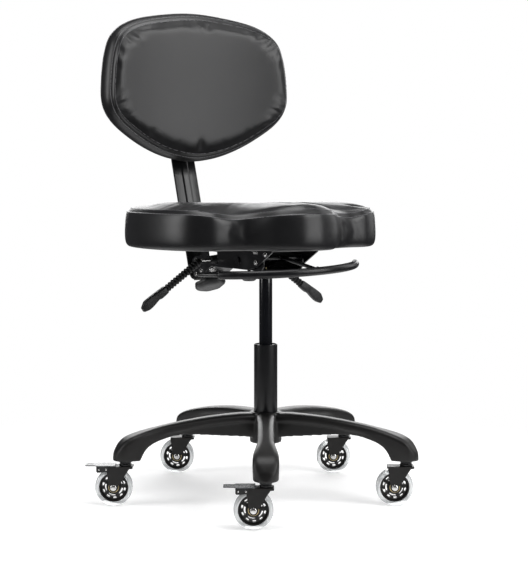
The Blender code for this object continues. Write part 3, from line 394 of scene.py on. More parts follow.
def skin(rings, looped=False):
    """Skin over rings with equal point counts, capped unless looped."""
    size = len(rings[0])
    faces = []
    for r in range(len(rings) if looped else len(rings) - 1):
        here, there = r * size, (r + 1) % len(rings) * size
        faces += [(here + k, here + (k + 1) % size, there + (k + 1) % size, there + k) for k in range(size)]
    if not looped:
        faces += [tuple(range(size)), tuple(range((len(rings) - 1) * size, len(rings) * size))]
    return mesh_of([p for ring in rings for p in ring], faces)


def lathe(profile, steps=72, soften=0.0):
    """Closed (radius, height) profile turned about Z; soften rounds corners. A solid's ends have radius 0."""
    solid = profile[0][0] == 0
    points = [Vector(p) for p in profile]
    if soften:
        rounded_points = rounded_corners(points, soften, 3)
        points = [points[0]] + rounded_points[4:-4] + [points[-1]] if solid else rounded_points
    vertices, rows = [], []
    for radius, height in points:
        count = 1 if radius < 1e-9 else steps
        rows.append([len(vertices) + k % count for k in range(steps)])
        vertices += [(radius * cos(2 * pi * k / steps), radius * sin(2 * pi * k / steps), height)
                     for k in range(count)]
    faces = []
    for r in range(len(rows) - 1 if solid else len(rows)):
        low, high = rows[r], rows[(r + 1) % len(rows)]
        for k in range(steps):
            n = (k + 1) % steps
            corners = list(dict.fromkeys((low[k], low[n], high[n], high[k])))
            if len(corners) > 2:
                faces.append(tuple(corners))
    return mesh_of(vertices, faces)


def sweep(path, section, side=RIGHT):
    """Section points (across, up) carried along a path; section(k) gives them at the k-th point."""
    rings = []
    for k, point in enumerate(path):
        forward = (path[min(k + 1, len(path) - 1)] - path[max(k - 1, 0)]).normalized()
        up = side.cross(forward).normalized()
        across = forward.cross(up).normalized()
        rings.append([point + across * a + up * b for a, b in section(k)])
    return skin(rings)


def plate(outline, low, high, across="Z"):
    """Flat outline pushed out from low to high along an axis."""
    seats = {"X": lambda a, b, c: (c, a, b), "Y": lambda a, b, c: (a, c, b), "Z": lambda a, b, c: (a, b, c)}
    seat = seats[across]
    return skin([[Vector(seat(a, b, level)) for a, b in outline] for level in (low, high)])


def together(*meshes):
    """One mesh that holds several closed ones."""
    work = bmesh.new()
    for mesh in meshes:
        work.from_mesh(mesh)
    joined = bpy.data.meshes.new("shape")
    work.to_mesh(joined)
    work.free()
    return joined


def moved(mesh, matrix):
    """Copy of a mesh, carried by a matrix."""
    copy = mesh.copy()
    copy.transform(matrix)
    return copy


def cut(solid, tool, operation="DIFFERENCE"):
    """What a Boolean of two meshes leaves."""
    pair = [bpy.data.objects.new("work", mesh) for mesh in (solid, tool)]
    for piece in pair:
        scene.collection.objects.link(piece)
    change = pair[0].modifiers.new("cut", "BOOLEAN")
    change.operation, change.solver, change.object, change.use_self = operation, "EXACT", pair[1], True
    result = bpy.data.meshes.new_from_object(pair[0].evaluated_get(bpy.context.evaluated_depsgraph_get()))
    for piece in pair:
        bpy.data.objects.remove(piece)
    return result


print("a turned disc has", len(lathe([(0, 0), (1, 0), (1, 1), (0, 1)]).vertices), "points")

# %% Hang a mesh on its body
def hang(name, mesh, finish, body, stands_for=(), crease=32, bevel=0.0):
    """Named piece with its finish, riding on a CAD body in place of the named nodes."""
    piece = bpy.data.objects.new(name, mesh)
    scene.collection.objects.link(piece)
    mesh.materials.clear()
    mesh.materials.append(finish)
    mesh.shade_smooth()
    mesh.set_sharp_from_angle(angle=radians(crease))
    if bevel:
        soften(piece, bevel)
    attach(piece, body)
    if stands_for:
        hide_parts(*stands_for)
    return piece


def soften(piece, width):
    """Round a piece's sharp edges by that width."""
    edge = piece.modifiers.new("edge", "BEVEL")
    edge.width, edge.segments, edge.limit_method, edge.angle_limit = width, 2, "ANGLE", radians(35)
    edge.harden_normals = True


def dress(node, finish, bevel=0.0):
    """Give a CAD node whose shape is right its finish and soft edges."""
    piece = frame["nodes"][node]
    piece.data.materials.clear()
    piece.data.materials.append(finish)
    piece.data.shade_smooth()
    piece.data.set_sharp_from_angle(angle=radians(32))
    if bevel:
        soften(piece, bevel)


def facing(place, direction):
    """Frame at a place with its Z along a direction."""
    return Matrix.Translation(place) @ Vector(direction).to_track_quat("Z", "Y").to_matrix().to_4x4()


def bolt(place, direction, radius, height=None, washer=0.0):
    """Hexagon bolt head with a chamfered top, and a washer under it."""
    height = height or radius * 0.75
    base = washer and radius * 0.18
    ring = [Vector((radius * cos(k * pi / 3), radius * sin(k * pi / 3))) for k in range(6)]
    levels = ((1.0, base), (1.0, base + height * 0.8), (0.93, base + height * 0.95), (0.80, base + height))
    head = skin([[Vector((p.x * s, p.y * s, z)) for p in rounded_corners(ring, radius * 0.10, 2)]
                 for s, z in levels])
    parts = [head]
    if washer:
        parts.append(lathe([(0, 0), (washer, 0), (washer, base * 0.8), (washer * 0.93, base + 0.00005),
                            (0, base + 0.00005)], 32))
    return moved(together(*parts), facing(place, direction))


# %% [markdown]
# ## The star base
# The base is one nylon moulding: a hub with five arms, each with a smooth rim band over a thinner web,
# running out to a round pod above its caster. Underneath it is hollow between cross ribs. The arms are
# swept as skins and fused with the hub by a Boolean. A fine voxel remesh and a little smoothing then turn
# the fused corners into the small fillets of a moulding, which bevels can't do on such a join.

# %% Shape an arm
POD_RADIUS, RIM_BAND, WEB_STEP, ARM_SHELL = 0.0262, 0.0150, 0.0052, 0.0034
# crown and underside of an arm as (radius, height above the pod's underside)
ARM_CROWN = ((0.026, 0.0845), (0.060, 0.0860), (0.141, 0.0805), (0.233, 0.0665), (0.302, 0.0470),
             (0.328, 0.0220), (0.3337, 0.0025))
ARM_BELLY = ((0.026, 0.0345), (0.095, 0.0405), (0.187, 0.0475), (0.238, 0.0390), (0.266, 0.0245),
             (0.2813, 0.0))

base_low, base_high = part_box("star_base")
stems = [middle(f"caster_stem_{k}") - column for k in range(1, 6)]
caster_circle = stems[0].xy.length
arm_headings = [atan2(stem.y, stem.x) for stem in stems]
crown_line, belly_line = smooth_curve([(*p, 0) for p in ARM_CROWN]), smooth_curve([(*p, 0)
                                                                                   for p in ARM_BELLY])


def arm_half_width(radius):
    """Half width of an arm in plan: hub root, waist, then the round pod."""
    beyond = radius - caster_circle
    if beyond > 0:
        return sqrt(max(POD_RADIUS ** 2 - beyond ** 2, 0.003 ** 2))
    waist = 0.0200 - 0.0025 * ease(radius, 0.03, 0.14)
    return waist + (POD_RADIUS - 0.0175) * ease(radius, caster_circle - 0.085, caster_circle - 0.004)


def arm_section(radius):
    """Rim band over a narrower web, as (across, height) points with round corners."""
    top, bottom = read_curve(crown_line, radius), read_curve(belly_line, radius)
    wide = arm_half_width(radius)
    step = WEB_STEP * (1 - ease(radius, 0.19, 0.24))
    band = min(RIM_BAND + 0.008 * ease(radius, 0.16, 0.245), (top - bottom) * 0.6)
    bevel = min(0.006, wide * 0.35, (top - bottom) * 0.3)
    half = [(wide - bevel * 1.6, top + 0.0012), (wide - bevel * 0.3, top - bevel * 0.35),
            (wide, top - bevel), (wide, top - band), (wide - step, top - band - step * 0.5 - 0.0005),
            (wide - step - 0.001, bottom)]
    return rounded_corners(half + [(-a, z) for a, z in reversed(half)], 0.002, 2)


def on_arm(heading, radius, across, height):
    return Vector((radius * cos(heading) - across * sin(heading),
                   radius * sin(heading) + across * cos(heading), height))


def arm(heading):
    along_web = np.linspace(0.026, 0.262, 24)
    around_pod = [0.2813 - 0.0165 * (1 - t) ** 2 for t in np.linspace(0, 1, 6)]
    past_pod = [caster_circle + (0.3337 - caster_circle) * sin(a) for a in np.linspace(-0.85, pi / 2, 14)]
    radii = sorted({round(float(r), 5) for r in [*along_web, *around_pod, *past_pod]})
    return skin([[on_arm(heading, r, a, z) for a, z in arm_section(r)] for r in radii])


print("each arm reaches", round(caster_circle, 4), "m to its caster")

# %% Fuse, hollow out and soften the base
def pockets(heading):
    """Hollows under an arm, between cross ribs."""
    first, last, ribs = 0.049, caster_circle - POD_RADIUS - 0.008, 3
    length = (last - first) / ribs
    out = []
    for index in range(ribs):
        low = first + index * length
        radii = np.linspace(low, low + length - 0.0035, 5)
        rings = []
        for r in radii:
            half, top = arm_half_width(r) - WEB_STEP - ARM_SHELL, read_curve(crown_line, r) - 2 * ARM_SHELL
            rings.append([on_arm(heading, r, a, z)
                          for a, z in ((-half, top), (half, top), (half, -0.03), (-half, -0.03))])
        out.append(skin(rings))
    return out


def remade(mesh, voxel, smoothing):
    """Mesh rebuilt on a voxel grid and smoothed."""
    work = bpy.data.objects.new("work", mesh)
    scene.collection.objects.link(work)
    rebuild = work.modifiers.new("rebuild", "REMESH")
    rebuild.mode, rebuild.voxel_size = "VOXEL", voxel
    calm = work.modifiers.new("calm", "SMOOTH")
    calm.factor, calm.iterations = 0.5, smoothing
    result = bpy.data.meshes.new_from_object(work.evaluated_get(bpy.context.evaluated_depsgraph_get()))
    bpy.data.objects.remove(work)
    return result


tube_radius = span("outer_tube").x / 2
hub_radius = tube_radius + 0.0090
hub_low, hub_high = 0.0215, base_high.z - base_low.z
moulding = lathe([(0, hub_low), (hub_radius, hub_low), (hub_radius, hub_high), (0, hub_high)], 96, 0.003)
moulding = cut(moulding, together(*(arm(heading) for heading in arm_headings)), "UNION")
hollows = [hollow for heading in arm_headings for hollow in pockets(heading)]
bores = [moved(lathe([(0, -0.01), (0.0058, -0.01), (0.0058, 0.031), (0, 0.031)], 24),
               Matrix.Translation((*stem.xy, 0))) for stem in stems]
bores.append(lathe([(0, -0.02), (tube_radius + 0.0003, -0.02), (tube_radius + 0.0003, 0.12), (0, 0.12)], 96))
moulding = remade(cut(moulding, together(*hollows, *bores)), 0.0019, 3)
base = hang("base_moulding", moved(moulding, Matrix.Translation((*column.xy, base_low.z))), nylon, "base",
            ["star_base"], crease=60)
print("the base moulding has", len(base.data.polygons), "faces")

# %% [markdown]
# ## The gas column
# A steel tube pressed into the hub holds a plastic guide bush, and the gas cylinder slides in that. All
# three are turned parts, so each is a profile on the lathe. What makes them look real is small: a rolled
# lip at the tube's mouth, a chamfer on the bush, and a dark slit between bush and cylinder.

# %% Turn the column's pieces
def stand(mesh, height=0.0):
    """Mesh drawn about the column's axis, moved there and up."""
    return moved(mesh, Matrix.Translation((*column.xy, height)))


def hollow_profile(inner, outer, length):
    return [(inner, 0), (outer, 0), (outer, length), (inner, length)]


tube_low, tube_top = (corner.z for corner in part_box("outer_tube"))
tube_profile = [(tube_radius - 0.0015, 0), (tube_radius, 0), (tube_radius, tube_top - tube_low - 0.0030),
                (tube_radius, tube_top - tube_low - 0.0012), (tube_radius - 0.0008, tube_top - tube_low),
                (tube_radius - 0.0019, tube_top - tube_low - 0.0004)]
hang("column_tube", stand(lathe(tube_profile, 128, 0.0005), tube_low), powder, "base",
     ["outer_tube"])

bush_size, cylinder_radius = span("guide_bush"), span("gas_cylinder").x / 2
bush = lathe(hollow_profile(cylinder_radius + 0.0006, bush_size.x / 2, bush_size.z - 0.0012), 128, 0.0010)
hang("column_bush", stand(bush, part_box("guide_bush")[0].z), nylon, "base", ["guide_bush"])

cylinder_low, cylinder_top = (corner.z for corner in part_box("gas_cylinder"))
length = cylinder_top - cylinder_low
cylinder = lathe([(0.0045, 0), (cylinder_radius - 0.0010, 0), (cylinder_radius, 0.0012),
                  (cylinder_radius, length - 0.0200), (cylinder_radius - 0.0003, length - 0.0012),
                  (cylinder_radius - 0.0014, length), (0.0034, length), (0.0034, length - 0.006),
                  (0.0080, length - 0.010), (0.0080, 0.008)], 128, 0.0004)
hang("gas_spring", stand(cylinder, cylinder_low), lacquer, "control", ["gas_cylinder"])
for node, finish, edge in (("piston_rod", zinc, 0.0003), ("retaining_clip", zinc, 0.0002),
                           ("thrust_bearing", zinc, 0.0003), ("valve_button", yellow_zinc, 0.0003)):
    dress(node, finish, edge)
print("the column's tube is", round(tube_top - tube_low, 3), "m long")

# %% [markdown]
# ## The casters
# Five casters are alike, so each piece is modelled once, lying along X, and its mesh is shared by all five.
# The wheel turns on a yellow ball bearing in a black hub with two rows of windows. The urethane tyre is
# cast on the hub. A pressed fork holds the axle bolt, and swivels on a stem with two races.

# %% Model the wheel
def arc_window(radius, half_width, angle, half_span, steps=5):
    """Outline of a slot that follows a circle, with round ends."""
    out = []
    for turn, sign in ((half_span, 1), (-half_span, -1)):
        out += [Vector((cos(angle + t), sin(angle + t))) * (radius + sign * half_width)
                for t in np.linspace(-turn, turn, steps)]
        centre, start = Vector((cos(angle + turn), sin(angle + turn))) * radius, angle + turn
        out += [centre + Vector((cos(start + sign * t), sin(start + sign * t))) * half_width * sign
                for t in np.linspace(0, pi, 6)[1:-1]]
    return [(p.x, p.y) for p in out]


ALONG_Y = Matrix.Rotation(-pi / 2, 4, "X")
wheel_radius, wheel_half = span("caster_tyre_1").z / 2, 0.0120
half_section = [(0.0111, 0.0112), (0.0134, 0.0112), (0.0146, 0.0056), (0.0262, 0.0048), (0.0276, 0.0104),
                (0.0303, 0.0110)]
hub_section = half_section + [(r, -z) for r, z in reversed(half_section)]
windows = [plate(arc_window(0.0176, 0.0017, 2 * pi * k / 5, 0.42), -0.02, 0.02) for k in range(5)]
windows += [plate(arc_window(0.0228, 0.0020, pi * (k + 0.5) / 5, 0.16), -0.02, 0.02) for k in range(10)]
hub_mesh = moved(cut(lathe(hub_section[::-1], 120, 0.0004), together(*windows)), ALONG_Y)

half_tread = [(0.0304, 0.0112), (0.0318, 0.0119), (0.0342, 0.0119), (0.0366, 0.0104), (wheel_radius, 0.0068)]
tyre_mesh = moved(lathe(half_tread + [(r, -z) for r, z in reversed(half_tread)], 144, 0.0011), ALONG_Y)
half_race = [(0.0046, 0.0110), (0.0060, 0.0114), (0.0068, 0.0103), (0.0082, 0.0103), (0.0090, 0.0116),
             (0.0108, 0.0118)]
race_mesh = moved(lathe(half_race + [(r, -z) for r, z in reversed(half_race)], 72, 0.0003), ALONG_Y)
print("the wheel is", round(2 * wheel_radius, 3), "m across with", len(windows), "windows")

# %% Model the fork, stem and axle
trail = (middle("caster_wheel_1") - middle("caster_stem_1")).xy.length
fork_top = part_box("caster_fork_1")[1].z
axle_height = middle("caster_wheel_1").z
leg_in, leg_out = wheel_half + 0.0020, wheel_half + 0.0045


def fork_flank():
    """Side of the fork: a narrow crown in front, a slanting leg, and a round eye for the axle."""
    eye = [(trail + 0.0092 * cos(a), axle_height + 0.0092 * sin(a))
           for a in np.radians(np.linspace(-195, 10, 14))]
    front = [(-0.0160, fork_top), (-0.0160, fork_top - 0.0042), (-0.0090, fork_top - 0.0050),
             (-0.0020, axle_height + 0.0290), (0.0100, axle_height + 0.0085)]
    back = [(trail + 0.0118, axle_height + 0.0200), (trail + 0.0140, fork_top - 0.0100),
            (trail + 0.0148, fork_top)]
    return front + eye + back


opening = plate(rounded_corners([(-0.05, -leg_in), (0.09, -leg_in), (0.09, leg_in), (-0.05, leg_in)], 0.001,
                                2),
                0, fork_top - 0.0030)
fork_mesh = cut(plate(fork_flank(), -leg_out, leg_out, "Y"), opening)
fork_mesh = cut(fork_mesh, lathe([(0, 0.05), (0.0060, 0.05), (0.0060, 0.1), (0, 0.1)], 36))
stem_low, stem_top = (corner.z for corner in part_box("caster_stem_1"))
race_low, pod_face = fork_top + 0.0003, base_low.z - 0.0003
stem_mesh = lathe([
    (0, stem_low), (0.0050, stem_low), (0.0084, stem_low + 0.0004), (0.0084, fork_top - 0.0033),
    (0.0054, fork_top - 0.0033), (0.0054, race_low), (0.0128, race_low), (0.0130, race_low + 0.0034),
    (0.0112, race_low + 0.0046), (0.0112, race_low + 0.0056), (0.0130, race_low + 0.0068),
    (0.0128, pod_face), (0.0054, pod_face), (0.0054, stem_top - 0.001), (0.0044, stem_top), (0, stem_top)],
                  48, 0.0004)
head = leg_out + 0.0003
dome = [(0.0066 * cos(a), head + 0.0008 + 0.0024 * sin(a)) for a in np.linspace(0, pi / 2, 8)[:-1]]
half_axle = [(0.0044, head), (0.0066, head), *dome]
axle_profile = [(0, -head - 0.0032), *[(r, -z) for r, z in reversed(half_axle)], *half_axle,
                (0, head + 0.0032)]
axle_mesh = moved(lathe(axle_profile, 48), ALONG_Y)
print("the fork stands", round(fork_top, 4), "m high and trails", round(trail, 4), "m")

# %% Hang the casters
CASTER_LOOKS = (("fork", fork_mesh, nylon, "nylon", 0.0006), ("stem", stem_mesh, powder, "black_steel", 0),
                ("axle", axle_mesh, zinc, "zinc_steel", 0), ("wheel", hub_mesh, nylon, "nylon", 0.0003),
                ("tyre", tyre_mesh, urethane, "clear_urethane", 0),
                ("bearing", race_mesh, yellow_zinc, "yellow_zinc", 0))


def hang_like(name, mesh, finish, body, matrix, stands_for=(), bevel=0.0):
    """Piece that shares its mesh with others and is placed by its own matrix."""
    piece = bpy.data.objects.new(name, mesh)
    scene.collection.objects.link(piece)
    if not mesh.materials:
        mesh.materials.append(finish)
        mesh.shade_smooth()
        mesh.set_sharp_from_angle(angle=radians(32))
    piece.matrix_world = matrix
    if bevel:
        soften(piece, bevel)
    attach(piece, body)
    if stands_for:
        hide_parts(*stands_for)
    return piece


caster_frames = []
for k in range(1, 6):
    stem, wheel = middle(f"caster_stem_{k}"), middle(f"caster_wheel_{k}")
    turn = Matrix.Rotation(atan2(wheel.y - stem.y, wheel.x - stem.x), 4, "Z")
    caster_frames.append(Matrix.Translation((*stem.xy, 0)) @ turn)
    for kind, mesh, finish, slot, bevel in CASTER_LOOKS:
        on_wheel = kind in ("wheel", "tyre", "bearing")
        seat = Matrix.Translation(wheel) @ turn if on_wheel or kind == "axle" else caster_frames[-1]
        hang_like(f"{kind}_of_caster_{k}", mesh, finish, f"wheel_{k}" if on_wheel else f"caster_{k}",
                  seat, [f"caster_{kind}_{k}"], bevel)
print("hung", len(caster_frames), "casters")

# %% [markdown]
# ## The brake pedals
# Two of the casters have a foot brake: a pale plastic tread on a dark pressed box, held by a rivet on each
# side, with a spring tongue that grips the tyre when the pedal is down.

# %% Model the pedals
tread_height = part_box("brake_pedal_1")[1].z
cheek_in, cheek_out = leg_out + 0.0005, leg_out + 0.0025
to_caster = caster_frames[0].inverted()
reach = max((to_caster @ vertex.co).x for vertex in frame["nodes"]["brake_pedal_1"].data.vertices)
under = tread_height - 0.0022
tread_outline = rounded_corners([(0.0205, -cheek_out), (0.0600, -cheek_out), (0.0610, -0.0130),
                                 (reach, -0.0130), (reach, 0.0130), (0.0610, 0.0130), (0.0600, cheek_out),
                                 (0.0205, cheek_out)], 0.003, 4)
tread_mesh = plate(tread_outline, under, tread_height)
groove = plate(rounded(0.0006, 0.0095, 0.0005, 2), tread_height - 0.0007, tread_height + 0.002)
grooves = [moved(groove, Matrix.Translation((reach - 0.0045 - 0.0032 * k, 0, 0))) for k in range(4)]
tread_mesh = cut(tread_mesh, together(*grooves))
cheek = rounded_corners([(0.0347, under - 0.0002), (0.0347, 0.0745), (0.0385, 0.0722), (0.0575, 0.0712),
                         (0.0592, 0.0735), (0.0592, under - 0.0002)], 0.0012, 3)
tongue = [(0.0450, under), (0.0530, 0.0692), (0.0545, 0.0696), (0.0480, under)]
box_mesh = together(*(plate(cheek, low, high, "Y")
                      for low, high in ((cheek_in, cheek_out), (-cheek_out, -cheek_in))),
                    plate(tongue, -0.0098, 0.0098, "Y"))
rivet = lathe([(0, 0), (0.0017, 0), (0.0016, 0.0005), (0.0009, 0.0008), (0, 0.0009)], 24, 0.0002)
spots = [(x, side) for x in (0.0385, 0.0535) for side in (-1, 1)]
rivet_mesh = together(*(moved(rivet, facing((x, side * cheek_out, 0.0775), (0, side, 0)))
                        for x, side in spots))
for k in (1, 5):
    seat = caster_frames[k - 1]
    hang_like(f"brake_tread_{k}", tread_mesh, pedal_plastic, f"brake_{k}", seat,
              [f"brake_pedal_{k}"], 0.0005)
    hang_like(f"brake_box_{k}", box_mesh, powder, f"brake_{k}", seat, (), 0.0003)
    hang_like(f"brake_rivets_{k}", rivet_mesh, zinc, f"brake_{k}", seat)
print("a pedal reaches", round(reach, 4), "m from its stem")

# %% [markdown]
# ## The control box
# Under the seat sits a pressed steel tray with wings from the seat plate on both sides and a hinged bracket
# for the back. Their CAD shapes are right, so they stay and get powder coat and rounded edges. What the CAD
# leaves out is added: bolts with washers, rubber boots, and the springs that show between the sheets.

# %% Dress the pressed steel and bolt it up
for node, finish, edge in (("mech_housing", powder, 0.0006), ("seat_plate", powder, 0.0008),
                           ("back_bracket", powder, 0.0008), ("tilt_pin", powder, 0.0004),
                           ("back_pin", zinc, 0.0004)):
    dress(node, finish, edge)
plate_low, plate_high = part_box("seat_plate")
tray_low, tray_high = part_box("mech_housing")
bracket_low, bracket_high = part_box("back_bracket")
under_plate = plate_high.z - 0.0030
corners = [(side * 0.068, y) for side in (-1, 1) for y in (plate_low.y + 0.045, plate_high.y - 0.045)]
plate_bolts = together(*(bolt(Vector((column.x + x, y, under_plate)), -UP, 0.0058, washer=0.0085)
                         for x, y in corners))
hang("plate_bolts", plate_bolts, zinc, "seat")

WING_FACE = 0.0560
wing_spots = ((0.0660, -0.0280), (0.0260, -0.0095))
wing_bolts = [bolt(Vector((column.x + side * WING_FACE, plate_low.y + a, plate_high.z + b)),
                   RIGHT * side, 0.0042, washer=0.0062) for side in (-1, 1) for a, b in wing_spots]
hang("wing_bolts", together(*wing_bolts), zinc, "seat")
bracket_half = (bracket_high.x - bracket_low.x) / 2
bracket_spots = ((0.1170, -0.0140), (0.0922, -0.0360), (0.1170, -0.0455))
bracket_bolts = [bolt(Vector((column.x + side * bracket_half, bracket_low.y + a, bracket_high.z + b)),
                      RIGHT * side, 0.0040, washer=0.0060) for side in (-1, 1) for a, b in bracket_spots]
hang("bracket_bolts", together(*bracket_bolts), zinc, "back_arm")
print("added", len(corners) + len(wing_bolts) + len(bracket_bolts), "bolts")

# %% Boots and springs
def coil(radius, wire, turns, length, steps=18):
    """Helical spring about Z."""
    count = turns * steps
    path = [Vector((radius * cos(2 * pi * k / steps), radius * sin(2 * pi * k / steps), length * k / count))
            for k in range(count + 1)]
    return sweep(path, lambda k: circle(wire, 8), UP)


lever_pivots = {name: Vector(joints[f"{name}_lever_lift"]["pos_m"]) for name in ("right", "left")}
wall = (tray_high.x - tray_low.x) / 2
boot = lathe([(0.0036, 0), (0.0105, 0), (0.0105, 0.0030), (0.0085, 0.0040), (0.0092, 0.0065),
              (0.0075, 0.0078), (0.0082, 0.0102), (0.0060, 0.0118), (0.0036, 0.0124)], 48, 0.0006)
for name, side in (("right", -1), ("left", 1)):
    pivot = lever_pivots[name]
    wall_spot = Vector((column.x + side * (wall + 0.0002), pivot.y, pivot.z))
    hang(f"lever_boot_{name}", moved(boot, facing(wall_spot, RIGHT * side)), rubber, "control")
    spring_spot = Vector((column.x + side * (wall + 0.0042), pivot.y + 0.002, tray_low.z + 0.0155))
    spring = moved(coil(0.0040, 0.0008, 7, 0.016),
                   facing(spring_spot + Vector((0, 0.012, -0.004)), (0, -1, 0.15)))
    hang(f"return_spring_{name}", spring, zinc, "control")
print("boots stand", round(wall, 4), "m from the middle")

# %% [markdown]
# ## The ring handle
# A bent steel rod runs round in front of the mechanism and pivots in the tray, so that lifting the ring
# anywhere presses the valve. A satin tube covers its front. Rod and tube are sweeps along the same arc, and
# the tube's ends are rounded by letting its section shrink over the last stations.

# %% Bend the ring
ring_pivot = Vector(joints["ring_lift"]["pos_m"])
RING_RADIUS, GRIP_RADIUS, ROD_RADIUS, RING_DROP, RING_SLOPE = 0.1900, 0.0085, 0.0040, 0.0210, 0.0450
grip_end, rod_ends, spoke_at = radians(60), (radians(-76), radians(56)), radians(6)


def on_ring(angle, radius=RING_RADIUS, rise=0.0):
    """Point of the ring at an angle from the front; the ring climbs toward the stool's left."""
    sideways = radius * sin(angle)
    return Vector((column.x + sideways, column.y - radius * cos(angle),
                   ring_pivot.z - RING_DROP + RING_SLOPE * sideways + rise))


rod_arc = [on_ring(a) for a in np.linspace(*rod_ends, 70)]
valve_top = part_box("valve_button")[1].z
spoke_line = smooth_curve([
    on_ring(spoke_at), on_ring(spoke_at, 0.165, 0.004), (column.x, ring_pivot.y - 0.022, ring_pivot.z),
    (column.x, ring_pivot.y, ring_pivot.z), (column.x, column.y - 0.020, valve_top + 0.0085),
    (column.x, column.y + 0.006, valve_top + 0.0045)], 8)
cross_rod = [Vector((column.x + x, ring_pivot.y, ring_pivot.z)) for x in (-0.052, -0.0515, 0.0515, 0.052)]
rods = together(sweep(rod_arc, lambda k: circle(ROD_RADIUS), UP),
                sweep(spoke_line, lambda k: circle(ROD_RADIUS)),
                sweep(cross_rod, lambda k: circle(ROD_RADIUS * (0.85 if k in (0, 3) else 1)), UP))
hang("ring_rods", rods, powder, "ring_handle", ["ring_rod"])

cap = radians(1.3)
grip_angles = [*(-grip_end + cap * (1 - cos(t)) for t in np.linspace(0, pi / 2, 6)),
               *np.linspace(-grip_end + cap * 1.2, grip_end - cap * 1.2, 90),
               *(grip_end - cap * (1 - cos(t)) for t in np.linspace(pi / 2, 0, 6))]


def grip_section(k):
    from_end = min(k, len(grip_angles) - 1 - k)
    return circle(GRIP_RADIUS * (0.45 + 0.55 * sin(min(from_end / 5, 1) * pi / 2)), 28)


hang("ring_grip_tube", sweep([on_ring(a) for a in grip_angles], grip_section, UP), grip_skin, "ring_handle",
     ["ring_grip"])
hang("ring_collar",
     moved(lathe([(0.0036, -0.003), (0.0066, -0.003), (0.0066, 0.003), (0.0036, 0.003)], 32, 0.0006),
                          facing(on_ring(spoke_at, 0.1805, 0.0017),
                                 on_ring(spoke_at, 0.165, 0.004) - on_ring(spoke_at))),
     rubber, "ring_handle")
print("the grip is", round(2 * grip_end * RING_RADIUS, 3), "m long around the ring")

# %% [markdown]
# ## The side levers
# Each lever is a steel rod that bends down out of its boot. A rubber gaiter with twelve folds covers it,
# turned from a rounded wave. At its end is a moulded paddle: skins over rounded sections that grow, step in
# below and round off at the tip, with one subdivision for the soft moulding.

# %% Turn the gaiters and mould the paddles
KNEE_OUT, DROOP, GAITER_START, GAITER_LENGTH, FOLDS = 0.03775, radians(35.5), 0.0070, 0.0950, 12
paddle_start = GAITER_START + GAITER_LENGTH + 0.0006


def gaiter_profile():
    """Wave of folds, wider toward the knee, as a closed (radius, height) profile."""
    wave = []
    for k in range(FOLDS * 8 + 1):
        t = k / (FOLDS * 8)
        swell = 0.5 - 0.5 * cos(2 * pi * k / 8)
        wave.append((0.0062 + 0.0004 * (1 - t) + 0.0024 * swell ** 0.7, GAITER_START + GAITER_LENGTH * t))
    return [(0.0034, GAITER_START), *wave, (0.0034, GAITER_START + GAITER_LENGTH)]


# (along, half depth, half height, shift up) of the paddle's sections
PADDLE_STATIONS = ((0.0, 0.0066, 0.0074, 0.0), (0.0010, 0.0076, 0.0086, 0.0), (0.012, 0.0078, 0.0094, 0.0),
                   (0.0240, 0.0076, 0.0098, 0.0), (0.0270, 0.0070, 0.0088, 0.0012),
                   (0.0300, 0.0070, 0.0090, 0.0012), (0.0450, 0.0064, 0.0112, 0.0),
                   (0.0570, 0.0060, 0.0114, -0.0004), (0.0600, 0.0056, 0.0108, -0.0006),
                   (0.0690, 0.0046, 0.0066, -0.0020), (0.0712, 0.0040, 0.0056, -0.0022),
                   (0.0719, 0.0026, 0.0036, -0.0022))
for name, side in (("right", -1), ("left", 1)):
    pivot, body = lever_pivots[name], f"{name}_lever"
    knee, down = pivot + Vector((side * KNEE_OUT, 0, 0)), Vector((side * cos(DROOP), 0, -sin(DROOP)))
    turn = facing(knee, down)
    start = Vector((pivot.x - side * 0.0105, pivot.y, pivot.z))
    path = smooth_curve([start, knee - RIGHT * side * 0.012, knee - RIGHT * side * 0.003 - UP * 0.0004,
                         knee + down * 0.004, knee + down * 0.012, knee + down * (paddle_start + 0.012)], 6)
    hang(f"lever_bar_{name}", sweep(path, lambda k: circle(0.0030, 16), Vector((0, 1, 0))), zinc, body,
         [f"lever_rod_{name}"])
    hang(f"gaiter_{name}", moved(lathe(gaiter_profile(), 40), turn), rubber, body,
         [f"bellows_{name}"], crease=80)
    ferrule = lathe([(0.0034, GAITER_START - 0.006), (0.0058, GAITER_START - 0.006),
                     (0.0066, GAITER_START - 0.002), (0.0066, GAITER_START - 0.0002),
                     (0.0034, GAITER_START - 0.0002)], 40, 0.0005)
    hang(f"ferrule_{name}", moved(ferrule, turn), rubber, body)
    rise = Vector((side * sin(DROOP), 0, cos(DROOP)))
    rings = [[knee + down * (paddle_start + a) + Vector((0, 1, 0)) * x + rise * (z + lift)
              for x, z in rounded(deep, tall, min(deep, tall) * 0.5, 4)]
             for a, deep, tall, lift in PADDLE_STATIONS]
    paddle = hang(f"finger_paddle_{name}", skin(rings), plastic, body, [f"paddle_{name}"],
                  crease=50)
    fine = paddle.modifiers.new("fine", "SUBSURF")
    fine.levels = fine.render_levels = 1
print("a lever reaches", round((paddle_start + 0.072) * cos(DROOP) + KNEE_OUT, 3), "m out")

# %% [markdown]
# ## The knobs
# The knob for the back's depth is a big dome, and the one for the tilt's spring a small tapered one. Both
# have shallow finger scallops, so their rings follow a cosine around the axis instead of a plain circle.

